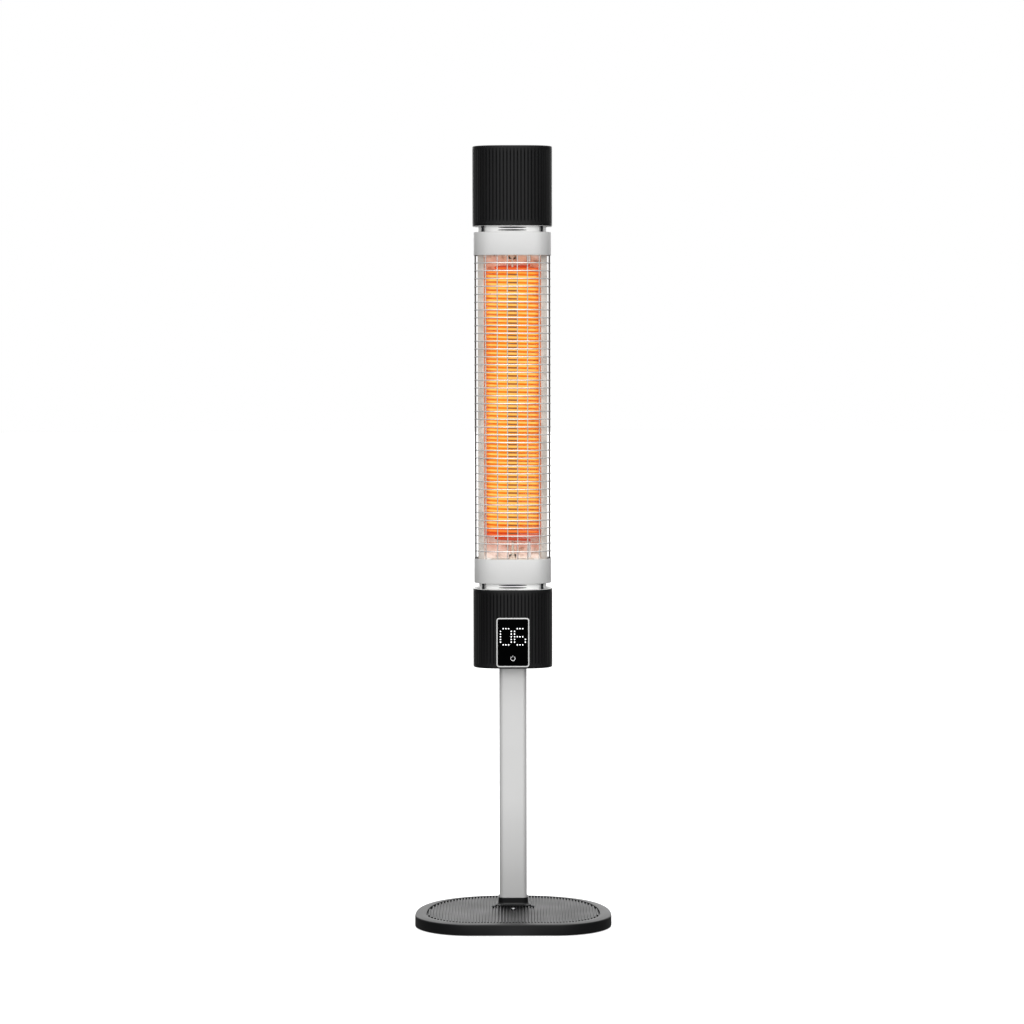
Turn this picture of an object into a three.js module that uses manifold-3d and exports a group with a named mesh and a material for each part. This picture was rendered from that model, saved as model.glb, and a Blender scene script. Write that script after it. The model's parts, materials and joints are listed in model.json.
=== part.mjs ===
// Infrared patio heater tower: a D-shaped base, an aluminium pole and a slim heating tower.
// Millimetres, +Z up. The front faces -Y and the origin is under the middle of the base.

import * as THREE from 'three';
import { mergeVertices } from 'three/addons/utils/BufferGeometryUtils.js';
import Module from 'manifold-3d';

const wasm = await Module();
wasm.setup();

// ---------------------------------------------------------------- driving dimensions

const FIT = 0.3;                    // gap between pieces that touch or slide into each other

// Base
const BASE_HALF_WIDTH = 170.5;
const BASE_BACK = 182.5;            // from the widest line to the back
const BASE_SQUARENESS = 2.4;        // superellipse exponent of the back
const BASE_REACH = 101;             // from the widest line to the straight front
const BASE_CORNER = 98;             // radius of the two front corners
const BASE_HEIGHT = 21.5;           // floor to the top of the cover
const BASE_LIFT = 2;                // floor to the lower edge of the cover
const COVER_WALL = 3;
const RIM_WIDTH = 17;               // smooth rim round the ribbed top
const RECESS_DEPTH = 1;             // the ribbed field lies in this recess
const BALLAST_MARGIN = 6;           // cover wall to ballast edge
const COVER_ROOM = 1.9;             // room between the pole bracket and the cover over it
const FOOT_HEIGHT = 4;
const FOOT_RADIUS = 12;
const FOOT_INSET = 34;              // outline to the middle of a foot

// Pole and its fixings
const POLE_WIDTH = 48;
const POLE_DEPTH = 34;
const POLE_CORNER = 8;
const POLE_WALL = 2;
const POLE_BEHIND = 93;             // widest line of the base to the pole axis
const POLE_EXPOSED = 422;           // top of the base to the underside of the tower
const POLE_INSERT = 24;             // length of pole inside the lower housing
const COLLAR_HEIGHT = 14.2;
const COLLAR_WALL = 2.2;
const COLLAR_FLARE = 5;             // how far the skirt stands out at its foot
const COLLAR_FLARE_HEIGHT = 6.7;
const COLLAR_LIP = 1.7;             // upright edge at the foot of the skirt
const BRACKET_BESIDE = 19;          // pole side to the bracket's edge
const BRACKET_BEYOND = 39;          // pole front or back to the bracket's edge
const BRACKET_CORNER = 8;
const BRACKET_PLATE = 4;
const SPIGOT_HEIGHT = 58;
const SPIGOT_WALL = 3;
const SCREW_BESIDE = 9.5;           // pole side to a side cover screw
const SCREW_BEFORE = 9.5;           // pole front to the side cover screws
const SCREW_FRONT_BEFORE = 32;      // pole front to the front cover screw
const SCREW_HEAD_RADIUS = 3.4;
const SCREW_HEAD_HEIGHT = 2;
const SCREW_SHANK_RADIUS = 1.7;
const BOSS_WALL = 2.6;
const BOLT_BEHIND = 17;             // pole back to the bracket bolts
const BOLT_SIDE = 30;
const BOLT_HEAD_RADIUS = 5;
const BOLT_HEAD_HEIGHT = 1.6;
const BOLT_SHANK_RADIUS = 2.5;

// Tower
const TOWER_WIDTH = 139;
const TOWER_DEPTH = 106;
const TOWER_SQUARENESS = 3;         // superellipse exponent of the section
const SHELL_POINTS = 40;            // corners of the section's polygon
const NECK_POINTS = 28;
const PLATE_POINTS = 24;            // the same on pieces that don't show
const HOUSING_HEIGHT = 137.5;
const HOUSING_WALL = 2.5;
const CAP_HEIGHT = 138.2;
const FLUTE_COUNT = 34;
const FLUTE_WIDTH = 3.4;
const FLUTE_DEPTH = 1.3;
const FLUTE_MARGIN = 7;             // plain border at both ends of the flutes
const NECK_GAP = 10.6;              // open gap between a housing and its band
const NECK_INSET = 10.5;            // neck surface behind the housing surface
const NECK_WALL = 1.5;
const NECK_SLOT_WIDTH = 46;
const NECK_SLOT_HEIGHT = 2;
const NECK_SLOT_PITCH = 4.4;
const LOWER_BAND_HEIGHT = 42.4;
const UPPER_BAND_HEIGHT = 40.1;
const BAND_WALL = 0.8;
const BAND_INSET = 2;               // band surface behind the housing surface
const BAND_PLAY = 0.8;              // room round what sits inside a band
const WINDOW_HEIGHT = 529;
const CAP_PLATE = 3;
const END_PLATE = 1.5;
const END_PLATE_DEPTH = 10;         // band edge to the end plate inside it
const SPACER_RADIUS = 2.4;
const SPACER_FROM_SIDE = 18;        // housing side to the middle of a spacer
const SPACER_FROM_FRONT = 17;
const LEAD_HOLE = 9;                // radius of the holes that leads pass through

// Guard
const RING_COUNT = 38;
const WIRE = 2;
const POST_OFFSETS = [8.7, 26.2];         // inner upright wires from the middle, each side
const POST_FROM_SIDE = 22.9;              // housing side to the outer upright wire
const GUARD_SIDE_STEPS = 2;               // straight pieces round each side of a ring

// Reflector, rails and rear cover
const REFLECTOR_INSET = 9;          // housing side to the reflector's edge
const SHEET = 0.8;
const FLANGE_WIDTH = 10.5;
const TROUGH_TAPER = 6;             // how far each trough side leans in
const TROUGH_FRONT = -6;            // flange plane, from the tower axis
const TROUGH_BACK = 24;
const END_WALL_RUN = 26;            // height that a sloped end wall covers
const RAIL_WIDTH = 7;
const RAIL_DEPTH = 9;
const REAR_WALL = 1.2;
const VENT_COUNT = 3;
const VENT_WIDTH = 50;
const VENT_HEIGHT = 4;
const VENT_PITCH = 12;
const VENT_FROM_END = 40;

// Heating coil, its former and holders
const COIL_TURNS = 66;
const COIL_SIDE_GAP = 2.7;          // trough edge to the side of the coil
const COIL_DEPTH = 37;              // outside
const COIL_SQUARENESS = 2.4;
const COIL_CENTRE = -2;             // from the tower axis
const COIL_LOWER_GAP = 38.4;        // window edge to the first full turn
const COIL_UPPER_GAP = 24.5;        // last full turn to the window edge
const STRAND = 4.6;
const STRAND_SIDES = 5;
const CURL_STEPS = 8;
const END_LOOP_SCALE = 0.65;        // the cooler end loops are drawn in
const FORMER_WIDTH = 16;
const FORMER_PLAY = 1.3;            // room between the former and the strand
const FORMER_FLANGE = 2.4;
const FORMER_WEB = 3.2;
const TANG_WIDTH = 12;
const TANG_DEPTH = 7;
const HOLDER_WALL = 4.45;           // ceramic outside each terminal
const HOLDER_DEPTH = 20;
const HOLDER_HEIGHT = 8.4;
const HOLDER_POCKET = 5;
const TERMINAL_RADIUS = 3;
const TERMINAL_HEIGHT = 20;
const RETURN_LEAD_RADIUS = 1.6;
const RETURN_LEAD_SIDE = 30;
const RETURN_LEAD_BEHIND = 10;      // trough back to the lead

// Display and electrics
const DISPLAY_WIDTH = 57.5;
const DISPLAY_HEIGHT = 86.2;
const DISPLAY_CORNER = 5;
const DISPLAY_FRAME = 2.2;
const DISPLAY_PROUD = 1;
const DISPLAY_DROP = 2.7;           // underside of the housing to the display
const GLASS_THICKNESS = 2;
const GLASS_RECESS = 0.5;
const BOARD = 1.6;
const FLOOR_PLATE = 4;
const FLOOR_RECESS = 1.5;
const CLAMP_WALL = 9;
const CLAMP_EAR = 14;
const CLAMP_EAR_HEIGHT = 6;
const GLAND_RADIUS = 9;
const GLAND_NECK = 6;
const GLAND_BORE = 3.6;
const GLAND_FLANGE = 4;
const GLAND_NOSE = 9;               // how far the gland stands out behind the housing
const GLAND_INSIDE = 7;             // how far it reaches inside the wall
const GLAND_HEIGHT = 24;            // underside of the housing to the gland axis
const BLOCK_WIDTH = 40;             // terminal block
const BLOCK_DEPTH = 10;
const BLOCK_HEIGHT = 14;
const BLOCK_BEHIND = 3;             // clamp to the terminal block
const WELL_RADIUS = 2.5;
const WELL_PITCH = 12;
const POWER_BOARD_WIDTH = 88;
const POWER_BOARD_HEIGHT = 62;
const POWER_BOARD_BACK = 4;         // behind the tower axis
const HEAT_SINK = { width: 30, depth: 16, height: 34, x: -24, rise: 16 };
const RELAY = { width: 20, depth: 14, height: 18, x: 22, rise: 30 };
const CAPACITOR = { radius: 6, height: 18, x: 22, rise: 6 };
const DISPLAY_BOARD_WIDTH = 50;
const DISPLAY_BOARD_HEIGHT = 74;
const CUTOUT_WIDTH = 26;
const CUTOUT_DEPTH = 12;
const CUTOUT_BASE = 4;
const CUTOUT_RADIUS = 5.5;
const CUTOUT_HEIGHT = 9;
const CUTOUT_FORWARD = 18;          // from the tower axis
const YOKE_WIDTH = 22;
const YOKE_DEPTH = 30;
const YOKE_HEIGHT = 30;
const YOKE_CHEEK = 3;
const YOKE_FORWARD = 26;            // from the tower axis
const PIN_DROP = 9;                 // top of the yoke to the pin
const PIN_RADIUS = 1.5;
const PENDULUM_EYE = 4;
const PENDULUM_ARM = 4;
const PENDULUM_LENGTH = 22;
const PENDULUM_PLAY = 1.5;          // each side, between the yoke's cheeks
const BOB_RADIUS = 5;
const RUNNING_GAP = 0.25;

// ---------------------------------------------------------------- levels and places

const widestY = -(BASE_BACK - BASE_REACH) / 2;
const poleY = widestY + POLE_BEHIND;
const coverUnderside = BASE_HEIGHT - COVER_WALL;
const ballastBottom = FOOT_HEIGHT + FIT;
const bracketTop = coverUnderside - COVER_ROOM;
const bracketBottom = bracketTop - BRACKET_PLATE;
const ballastTop = bracketBottom - FIT;
const recessFloor = BASE_HEIGHT - RECESS_DEPTH;

const housingBottom = BASE_HEIGHT + POLE_EXPOSED;
const housingTop = housingBottom + HOUSING_HEIGHT;
const lowerBandBottom = housingTop + NECK_GAP;
const lowerBandTop = lowerBandBottom + LOWER_BAND_HEIGHT;
const upperBandBottom = lowerBandTop + WINDOW_HEIGHT;
const upperBandTop = upperBandBottom + UPPER_BAND_HEIGHT;
const capBottom = upperBandTop + NECK_GAP;
const capTop = capBottom + CAP_HEIGHT;

const lowerPlateTop = lowerBandTop - END_PLATE_DEPTH;
const upperPlateBottom = upperBandBottom + END_PLATE_DEPTH;
const floorPlateTop = housingBottom + FLOOR_RECESS + FLOOR_PLATE;
const poleTop = housingBottom + POLE_INSERT;

const glandZ = housingBottom + GLAND_HEIGHT;
const displayBottom = housingBottom + DISPLAY_DROP;
const displayTop = displayBottom + DISPLAY_HEIGHT;
const displayFront = -TOWER_DEPTH / 2 - DISPLAY_PROUD;
const displayBack = -TOWER_DEPTH / 2 + HOUSING_WALL - FIT;

const reflectorWidth = TOWER_WIDTH - 2 * REFLECTOR_INSET;
const troughFrontWidth = reflectorWidth - 2 * FLANGE_WIDTH;
const troughBackWidth = troughFrontWidth - 2 * TROUGH_TAPER;
const bandInside = BAND_INSET + BAND_WALL + BAND_PLAY;
const sectionBottom = lowerPlateTop + FIT;
const sectionTop = upperPlateBottom - FIT;

// ---------------------------------------------------------------- materials

function finish(colour, roughness, metalness) {
  return new THREE.MeshStandardMaterial({ color: colour, roughness, metalness });
}

const blackPlastic = finish(0x17181a, 0.5, 0);
const blackRubber = finish(0x101010, 0.9, 0);
const satinAluminium = finish(0xc6c7c8, 0.35, 1);
const polishedSheet = finish(0xd8d6d0, 0.15, 1);
const guardWire = finish(0xbfbfbe, 0.25, 1);
const steel = finish(0x8e9092, 0.4, 1);
const blackSteel = finish(0x24262a, 0.45, 1);
const ceramic = finish(0xe8e0cf, 0.8, 0);
const blackGlass = finish(0x050506, 0.05, 0);
const circuitBoard = finish(0x1d5a3a, 0.6, 0);
const whitePlastic = finish(0xdedcd4, 0.6, 0);
const brass = finish(0xb9924a, 0.35, 1);
const glowingCoil = new THREE.MeshStandardMaterial({
  color: 0xff8a1e, roughness: 0.6, metalness: 0, emissive: 0xff6a00, emissiveIntensity: 1,
});

// ---------------------------------------------------------------- solids

function solid(geometry) {
  const bare = geometry.clone();
  bare.deleteAttribute('normal');
  bare.deleteAttribute('uv');
  const merged = mergeVertices(bare, 1e-4);
  return new wasm.Manifold(new wasm.Mesh({
    numProp: 3,
    vertProperties: new Float32Array(merged.attributes.position.array),
    triVerts: new Uint32Array(merged.index.array),
  }));
}

function surface(manifold) {
  const mesh = manifold.getMesh();
  const geometry = new THREE.BufferGeometry();
  geometry.setAttribute('position', new THREE.BufferAttribute(mesh.vertProperties, 3));
  geometry.setIndex(new THREE.BufferAttribute(mesh.triVerts, 1));
  geometry.computeVertexNormals();
  return geometry;
}

const join = (first, ...rest) => rest.reduce((sum, piece) => sum.add(piece), first);
const cut = (first, ...rest) => rest.reduce((left, piece) => left.subtract(piece), first);

// An upright prism over an outline, with optional holes.
function prism(outline, bottom, top, holes = []) {
  const shape = new THREE.Shape(outline);
  shape.holes = holes.map((hole) => new THREE.Path(hole));
  const geometry = new THREE.ExtrudeGeometry(shape, { depth: top - bottom, bevelEnabled: false });
  return solid(geometry.translate(0, 0, bottom));
}

// A plate in an upright plane: the outline is in X and Z, front and back are along Y.
function uprightPlate(outline, front, back, holes = []) {
  const shape = new THREE.Shape(outline);
  shape.holes = holes.map((hole) => new THREE.Path(hole));
  const geometry = new THREE.ExtrudeGeometry(shape, { depth: back - front, bevelEnabled: false });
  return solid(geometry.rotateX(Math.PI / 2).translate(0, back, 0));
}

function block(width, depth, height, x, y, bottom) {
  return solid(new THREE.BoxGeometry(width, depth, height).translate(x, y, bottom + height / 2));
}

function rod(radius, x, y, bottom, top, sides = 16) {
  const geometry = new THREE.CylinderGeometry(radius, radius, top - bottom, sides);
  return solid(geometry.rotateX(Math.PI / 2).translate(x, y, (bottom + top) / 2));
}

function rodAlongX(radius, left, right, y, z, sides = 16) {
  const geometry = new THREE.CylinderGeometry(radius, radius, right - left, sides);
  return solid(geometry.rotateZ(Math.PI / 2).translate((left + right) / 2, y, z));
}

function rodAlongY(radius, front, back, x, z, sides = 16) {
  const geometry = new THREE.CylinderGeometry(radius, radius, back - front, sides);
  return solid(geometry.translate(x, (front + back) / 2, z));
}

// A closed skin through outlines of equal point count, stacked upwards.
function loft(layers) {
  const count = layers[0].outline.length;
  const positions = layers.flatMap(({ outline, z }) => outline.flatMap((p) => [p.x, p.y, z]));
  const faces = [];
  for (let layer = 0; layer < layers.length - 1; layer += 1) {
    for (let i = 0; i < count; i += 1) {
      const a = layer * count + i;
      const b = layer * count + ((i + 1) % count);
      faces.push(a, b, b + count, a, b + count, a + count);
    }
  }
  const lid = THREE.ShapeUtils.triangulateShape(layers[0].outline, []);
  const last = (layers.length - 1) * count;
  for (const [a, b, c] of lid) faces.push(a, c, b);
  for (const [a, b, c] of lid) faces.push(last + a, last + b, last + c);
  const geometry = new THREE.BufferGeometry();
  geometry.setAttribute('position', new THREE.Float32BufferAttribute(positions, 3));
  geometry.setIndex(faces);
  return solid(geometry);
}

// ---------------------------------------------------------------- outlines

function arc(x, y, radius, from, to, steps) {
  return Array.from({ length: steps + 1 }, (_, i) => {
    const angle = from + ((to - from) * i) / steps;
    return new THREE.Vector2(x + radius * Math.cos(angle), y + radius * Math.sin(angle));
  });
}

function roundedRectangle(width, depth, corner, steps = 3, x = 0, y = 0) {
  const dx = width / 2 - corner;
  const dy = depth / 2 - corner;
  const quarter = Math.PI / 2;
  return [
    ...arc(x + dx, y + dy, corner, 0, quarter, steps),
    ...arc(x - dx, y + dy, corner, quarter, 2 * quarter, steps),
    ...arc(x - dx, y - dy, corner, 2 * quarter, 3 * quarter, steps),
    ...arc(x + dx, y - dy, corner, 3 * quarter, 4 * quarter, steps),
  ];
}

// A point of a superellipse: the same power on both axes.
function squirclePoint(halfWidth, halfDepth, squareness, angle) {
  const bend = (value) => Math.sign(value) * Math.abs(value) ** (2 / squareness);
  return new THREE.Vector2(halfWidth * bend(Math.cos(angle)), halfDepth * bend(Math.sin(angle)));
}

// The tower's section, moved inwards by an inset, with evenly spaced points.
function towerOutline(inset, count = SHELL_POINTS) {
  const dense = Array.from({ length: 720 }, (_, i) => squirclePoint(
    TOWER_WIDTH / 2 - inset, TOWER_DEPTH / 2 - inset, TOWER_SQUARENESS, (i * Math.PI) / 360));
  const path = new THREE.Shape(dense);
  path.autoClose = true;
  return path.getSpacedPoints(count).slice(0, count);
}

// Depth of the tower's section at a distance from the middle.
function towerDepthAt(x, inset) {
  const share = Math.abs(x) / (TOWER_WIDTH / 2 - inset);
  return (TOWER_DEPTH / 2 - inset) * (1 - share ** TOWER_SQUARENESS) ** (1 / TOWER_SQUARENESS);
}

// The base's D outline, moved inwards by an inset.
const cornerX = BASE_HALF_WIDTH - BASE_CORNER;
const cornerY = widestY - BASE_REACH + BASE_CORNER;

function baseBackPoint(inset, angle) {
  const point = squirclePoint(BASE_HALF_WIDTH - inset, BASE_BACK - inset, BASE_SQUARENESS, angle);
  return point.add(new THREE.Vector2(0, widestY));
}

function baseOutline(inset) {
  return [
    ...Array.from({ length: 29 }, (_, i) => baseBackPoint(inset, (i * Math.PI) / 28)),
    ...arc(-cornerX, cornerY, BASE_CORNER - inset, Math.PI, 1.5 * Math.PI, 6),
    ...arc(cornerX, cornerY, BASE_CORNER - inset, 1.5 * Math.PI, 2 * Math.PI, 6),
  ];
}

function poleOutline(growth) {
  const width = POLE_WIDTH + 2 * growth;
  const depth = POLE_DEPTH + 2 * growth;
  return roundedRectangle(width, depth, POLE_CORNER + growth, 3, 0, poleY);
}

// ---------------------------------------------------------------- the assembly

const heater = new THREE.Group();
const tower = new THREE.Group();
tower.position.y = poleY;
heater.add(tower);

function place(name, shape, material, group = heater) {
  const geometry = shape.isBufferGeometry ? shape : surface(shape);
  const mesh = new THREE.Mesh(geometry, material);
  mesh.name = name;
  group.add(mesh);
}

// ---------------------------------------------------------------- base

const screwY = poleY - POLE_DEPTH / 2 - SCREW_BEFORE;
const coverScrews = [
  { name: 'cover_screw_left', x: -POLE_WIDTH / 2 - SCREW_BESIDE, y: screwY, material: blackSteel },
  { name: 'cover_screw_right', x: POLE_WIDTH / 2 + SCREW_BESIDE, y: screwY, material: blackSteel },
  { name: 'cover_screw_front', x: 0, y: poleY - POLE_DEPTH / 2 - SCREW_FRONT_BEFORE, material: steel },
];

const boltY = poleY + POLE_DEPTH / 2 + BOLT_BEHIND;
const bracketBolts = [
  { name: 'bracket_bolt_left', x: -BOLT_SIDE, y: boltY },
  { name: 'bracket_bolt_right', x: BOLT_SIDE, y: boltY },
];

// Each foot stands inside the outline on the diagonal of its corner.
const rearFoot = baseBackPoint(FOOT_INSET, Math.PI / 4);
const frontFoot = (BASE_CORNER - FOOT_INSET) * Math.SQRT1_2;
const feet = [
  { name: 'foot_rear_left', x: -rearFoot.x, y: rearFoot.y },
  { name: 'foot_rear_right', x: rearFoot.x, y: rearFoot.y },
  { name: 'foot_front_left', x: -cornerX - frontFoot, y: cornerY - frontFoot },
  { name: 'foot_front_right', x: cornerX + frontFoot, y: cornerY - frontFoot },
];

const pins = (places, radius, bottom, top, sides) => places.map(
  ({ x, y }) => rod(radius, x, y, bottom, top, sides));

function baseCover() {
  const outside = loft([
    { outline: baseOutline(1), z: BASE_LIFT },
    { outline: baseOutline(0), z: BASE_LIFT + 1.5 },
    { outline: baseOutline(0), z: BASE_HEIGHT - 5 },
    { outline: baseOutline(1.3), z: BASE_HEIGHT - 2 },
    { outline: baseOutline(4), z: BASE_HEIGHT },
  ]);
  const inside = prism(baseOutline(COVER_WALL), BASE_LIFT - 1, coverUnderside);
  const recess = prism(baseOutline(RIM_WIDTH), recessFloor, BASE_HEIGHT + 1);
  const bosses = pins(coverScrews, SCREW_SHANK_RADIUS + BOSS_WALL, bracketTop + FIT, coverUnderside + 1, 12);
  const posts = pins(feet, FOOT_RADIUS / 2, ballastTop + FIT, coverUnderside + 1, 10);
  const screwHoles = pins(coverScrews, SCREW_SHANK_RADIUS + FIT, bracketTop, BASE_HEIGHT + 1, 8);
  const poleHole = prism(poleOutline(FIT), BASE_LIFT, BASE_HEIGHT + 1);
  return cut(join(cut(outside, inside, recess), ...bosses, ...posts), ...screwHoles, poleHole);
}

function ballast() {
  const plate = prism(baseOutline(COVER_WALL + BALLAST_MARGIN), ballastBottom, ballastTop);
  return cut(plate, ...pins(bracketBolts, BOLT_SHANK_RADIUS + FIT, 0, ballastTop + 1, 8));
}

function poleBracket() {
  const width = POLE_WIDTH + 2 * BRACKET_BESIDE;
  const depth = POLE_DEPTH + 2 * BRACKET_BEYOND;
  const spigotTop = bracketTop + SPIGOT_HEIGHT;
  const plate = prism(roundedRectangle(width, depth, BRACKET_CORNER, 1, 0, poleY), bracketBottom, bracketTop);
  const spigot = prism(poleOutline(-POLE_WALL - FIT), bracketBottom, spigotTop);
  const bore = prism(poleOutline(-POLE_WALL - FIT - SPIGOT_WALL), bracketBottom - 1, spigotTop + 1);
  const screwHoles = pins(coverScrews, SCREW_SHANK_RADIUS + FIT, 0, bracketTop + 1, 8);
  const boltHoles = pins(bracketBolts, BOLT_SHANK_RADIUS + FIT, 0, bracketTop + 1, 8);
  return cut(join(plate, spigot), bore, ...screwHoles, ...boltHoles);
}

function screw(x, y, seat, length, headRadius, headHeight, shankRadius) {
  const head = rod(headRadius, x, y, seat + FIT, seat + FIT + headHeight, 10);
  return join(head, rod(shankRadius, x, y, seat - length, seat + FIT + headHeight / 2, 6));
}

place('base_cover', baseCover(), blackPlastic);
place('ballast_plate', ballast(), steel);
for (const { name, x, y } of feet) place(name, rod(FOOT_RADIUS, x, y, 0, FOOT_HEIGHT, 14), blackRubber);
place('pole_bracket', poleBracket(), steel);
for (const { name, x, y, material } of coverScrews) {
  place(name, screw(x, y, recessFloor, recessFloor - bracketBottom - FIT,
    SCREW_HEAD_RADIUS, SCREW_HEAD_HEIGHT, SCREW_SHANK_RADIUS), material);
}
for (const { name, x, y } of bracketBolts) {
  place(name, screw(x, y, bracketTop, bracketTop - ballastBottom,
    BOLT_HEAD_RADIUS, BOLT_HEAD_HEIGHT, BOLT_SHANK_RADIUS), steel);
}

// ---------------------------------------------------------------- pole

function poleTube() {
  return prism(poleOutline(0), bracketTop + FIT, poleTop, [poleOutline(-POLE_WALL)]);
}

function poleCollar() {
  const bottom = recessFloor + FIT;
  const skin = loft([
    { outline: poleOutline(COLLAR_WALL + COLLAR_FLARE), z: bottom },
    { outline: poleOutline(COLLAR_WALL + COLLAR_FLARE), z: bottom + COLLAR_LIP },
    { outline: poleOutline(COLLAR_WALL), z: bottom + COLLAR_FLARE_HEIGHT },
    { outline: poleOutline(COLLAR_WALL), z: bottom + COLLAR_HEIGHT },
  ]);
  return cut(skin, prism(poleOutline(FIT), bottom - 1, bottom + COLLAR_HEIGHT + 1));
}

place('pole_tube', poleTube(), satinAluminium);
place('pole_collar', poleCollar(), blackPlastic);

// ---------------------------------------------------------------- fluted housings

// Upright grooves round the section, with plain borders at both ends.
function flutes(bottom, top) {
  const places = towerOutline(0, FLUTE_COUNT * 2);
  return Array.from({ length: FLUTE_COUNT }, (_, i) => {
    const middle = places[(2 * i + 1) % places.length];
    const before = places[2 * i];
    const after = places[(2 * i + 2) % places.length];
    const along = after.clone().sub(before).normalize();
    const outwards = new THREE.Vector2(along.y, -along.x);
    const corner = (side, out) => middle.clone().addScaledVector(along, side * FLUTE_WIDTH / 2)
      .addScaledVector(outwards, out);
    const groove = [
      corner(-0.4, -FLUTE_DEPTH), corner(0.4, -FLUTE_DEPTH), corner(1.4, 1), corner(-1.4, 1)];
    if (THREE.ShapeUtils.isClockWise(groove)) groove.reverse();
    return prism(groove, bottom + FLUTE_MARGIN, top - FLUTE_MARGIN);
  });
}

function flutedShell(bottom, top, cavityBottom, cavityTop) {
  const outside = loft([
    { outline: towerOutline(1), z: bottom },
    { outline: towerOutline(0), z: bottom + 1.5 },
    { outline: towerOutline(0), z: top - 1.5 },
    { outline: towerOutline(1), z: top },
  ]);
  const cavity = prism(towerOutline(HOUSING_WALL, PLATE_POINTS), cavityBottom, cavityTop);
  return cut(outside, cavity, wasm.Manifold.union(flutes(bottom, top)));
}

function displayOutline(inset) {
  const width = DISPLAY_WIDTH - 2 * inset;
  const height = DISPLAY_HEIGHT - 2 * inset;
  return roundedRectangle(width, height, DISPLAY_CORNER - inset, 3, 0, (displayBottom + displayTop) / 2);
}

function lowerHousing() {
  const shell = flutedShell(housingBottom, housingTop, housingBottom - 1, housingTop - HOUSING_WALL);
  const window = uprightPlate(displayOutline(-FIT), -TOWER_DEPTH, -TOWER_DEPTH / 4);
  const glandHole = rodAlongY(GLAND_NECK + FIT, TOWER_DEPTH / 4, TOWER_DEPTH, 0, glandZ, 12);
  const leadHole = rod(LEAD_HOLE, 0, 0, housingTop - HOUSING_WALL - 1, housingTop + 1, 12);
  return cut(shell, window, glandHole, leadHole);
}

function topCap() {
  return flutedShell(capBottom, capTop, capBottom - 1, capTop - HOUSING_WALL);
}

place('lower_housing', lowerHousing(), blackPlastic, tower);
place('top_cap', topCap(), blackPlastic, tower);

// ---------------------------------------------------------------- lower housing contents

const clampWidth = POLE_WIDTH + 2 * (CLAMP_WALL + CLAMP_EAR);
const clampDepth = POLE_DEPTH + 2 * CLAMP_WALL;
const clampScrewX = clampWidth / 2 - CLAMP_EAR / 2;
const poleSection = (growth) => poleOutline(growth).map((p) => new THREE.Vector2(p.x, p.y - poleY));

// A pair of holes for the screws that stand left and right of the pole's axis.
const sideScrewHoles = (bottom, top) => [-1, 1].map(
  (side) => rod(SCREW_SHANK_RADIUS + FIT, side * clampScrewX, 0, bottom, top, 8));

function housingFloor() {
  const outline = towerOutline(HOUSING_WALL + FIT, PLATE_POINTS);
  const plate = prism(outline, housingBottom + FLOOR_RECESS, floorPlateTop);
  const poleHole = prism(poleSection(FIT), housingBottom, floorPlateTop + 1);
  return cut(plate, poleHole, ...sideScrewHoles(housingBottom, floorPlateTop + 1));
}

const clampBottom = floorPlateTop + FIT;
const earTop = clampBottom + CLAMP_EAR_HEIGHT;

function poleClamp() {
  const body = prism(roundedRectangle(POLE_WIDTH + 2 * CLAMP_WALL, clampDepth, 4, 1), clampBottom, poleTop);
  const ears = prism(roundedRectangle(clampWidth, clampDepth / 2, 4, 1), clampBottom, earTop);
  const bore = prism(poleSection(FIT), clampBottom - 1, poleTop + 1);
  return cut(join(body, ears), bore, ...sideScrewHoles(clampBottom - 1, earTop + 1));
}

place('housing_floor', housingFloor(), blackPlastic, tower);
place('pole_clamp', poleClamp(), steel, tower);
for (const [side, name] of [[-1, 'clamp_screw_left'], [1, 'clamp_screw_right']]) {
  place(name, screw(side * clampScrewX, 0, earTop, earTop - housingBottom - FLOOR_RECESS,
    SCREW_HEAD_RADIUS, SCREW_HEAD_HEIGHT, SCREW_SHANK_RADIUS), steel, tower);
}

function cordGland() {
  const wallBack = TOWER_DEPTH / 2 + FIT;
  const inside = TOWER_DEPTH / 2 - HOUSING_WALL - GLAND_INSIDE;
  const flange = rodAlongY(GLAND_RADIUS, wallBack, wallBack + GLAND_FLANGE, 0, glandZ, 12);
  const tube = rodAlongY(GLAND_NECK, inside, wallBack + GLAND_NOSE, 0, glandZ, 12);
  return cut(join(flange, tube), rodAlongY(GLAND_BORE, 0, TOWER_DEPTH, 0, glandZ, 10));
}

function terminalBlock() {
  const y = (clampDepth + BLOCK_DEPTH) / 2 + BLOCK_BEHIND;
  const body = block(BLOCK_WIDTH, BLOCK_DEPTH, BLOCK_HEIGHT, 0, y, clampBottom);
  const wells = [-1, 0, 1].map((i) => rod(WELL_RADIUS, i * WELL_PITCH, y,
    clampBottom + BLOCK_HEIGHT / 2, clampBottom + BLOCK_HEIGHT + 1, 8));
  return cut(body, ...wells);
}

function powerBoard() {
  const bottom = poleTop + FIT;
  const face = POWER_BOARD_BACK + BOARD / 2;
  const board = block(POWER_BOARD_WIDTH, BOARD, POWER_BOARD_HEIGHT, 0, POWER_BOARD_BACK, bottom);
  const onFace = ({ width, depth, height, x, rise }) => block(width, depth, height,
    x, face + depth / 2 - BOARD / 2, bottom + rise);
  const { radius, height, x, rise } = CAPACITOR;
  const capacitor = rod(radius, x, face + radius - BOARD / 2, bottom + rise, bottom + rise + height, 10);
  return join(board, onFace(HEAT_SINK), onFace(RELAY), capacitor);
}

place('cord_gland', cordGland(), blackPlastic, tower);
place('terminal_block', terminalBlock(), whitePlastic, tower);
place('power_board', powerBoard(), circuitBoard, tower);

// ---------------------------------------------------------------- display

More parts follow.
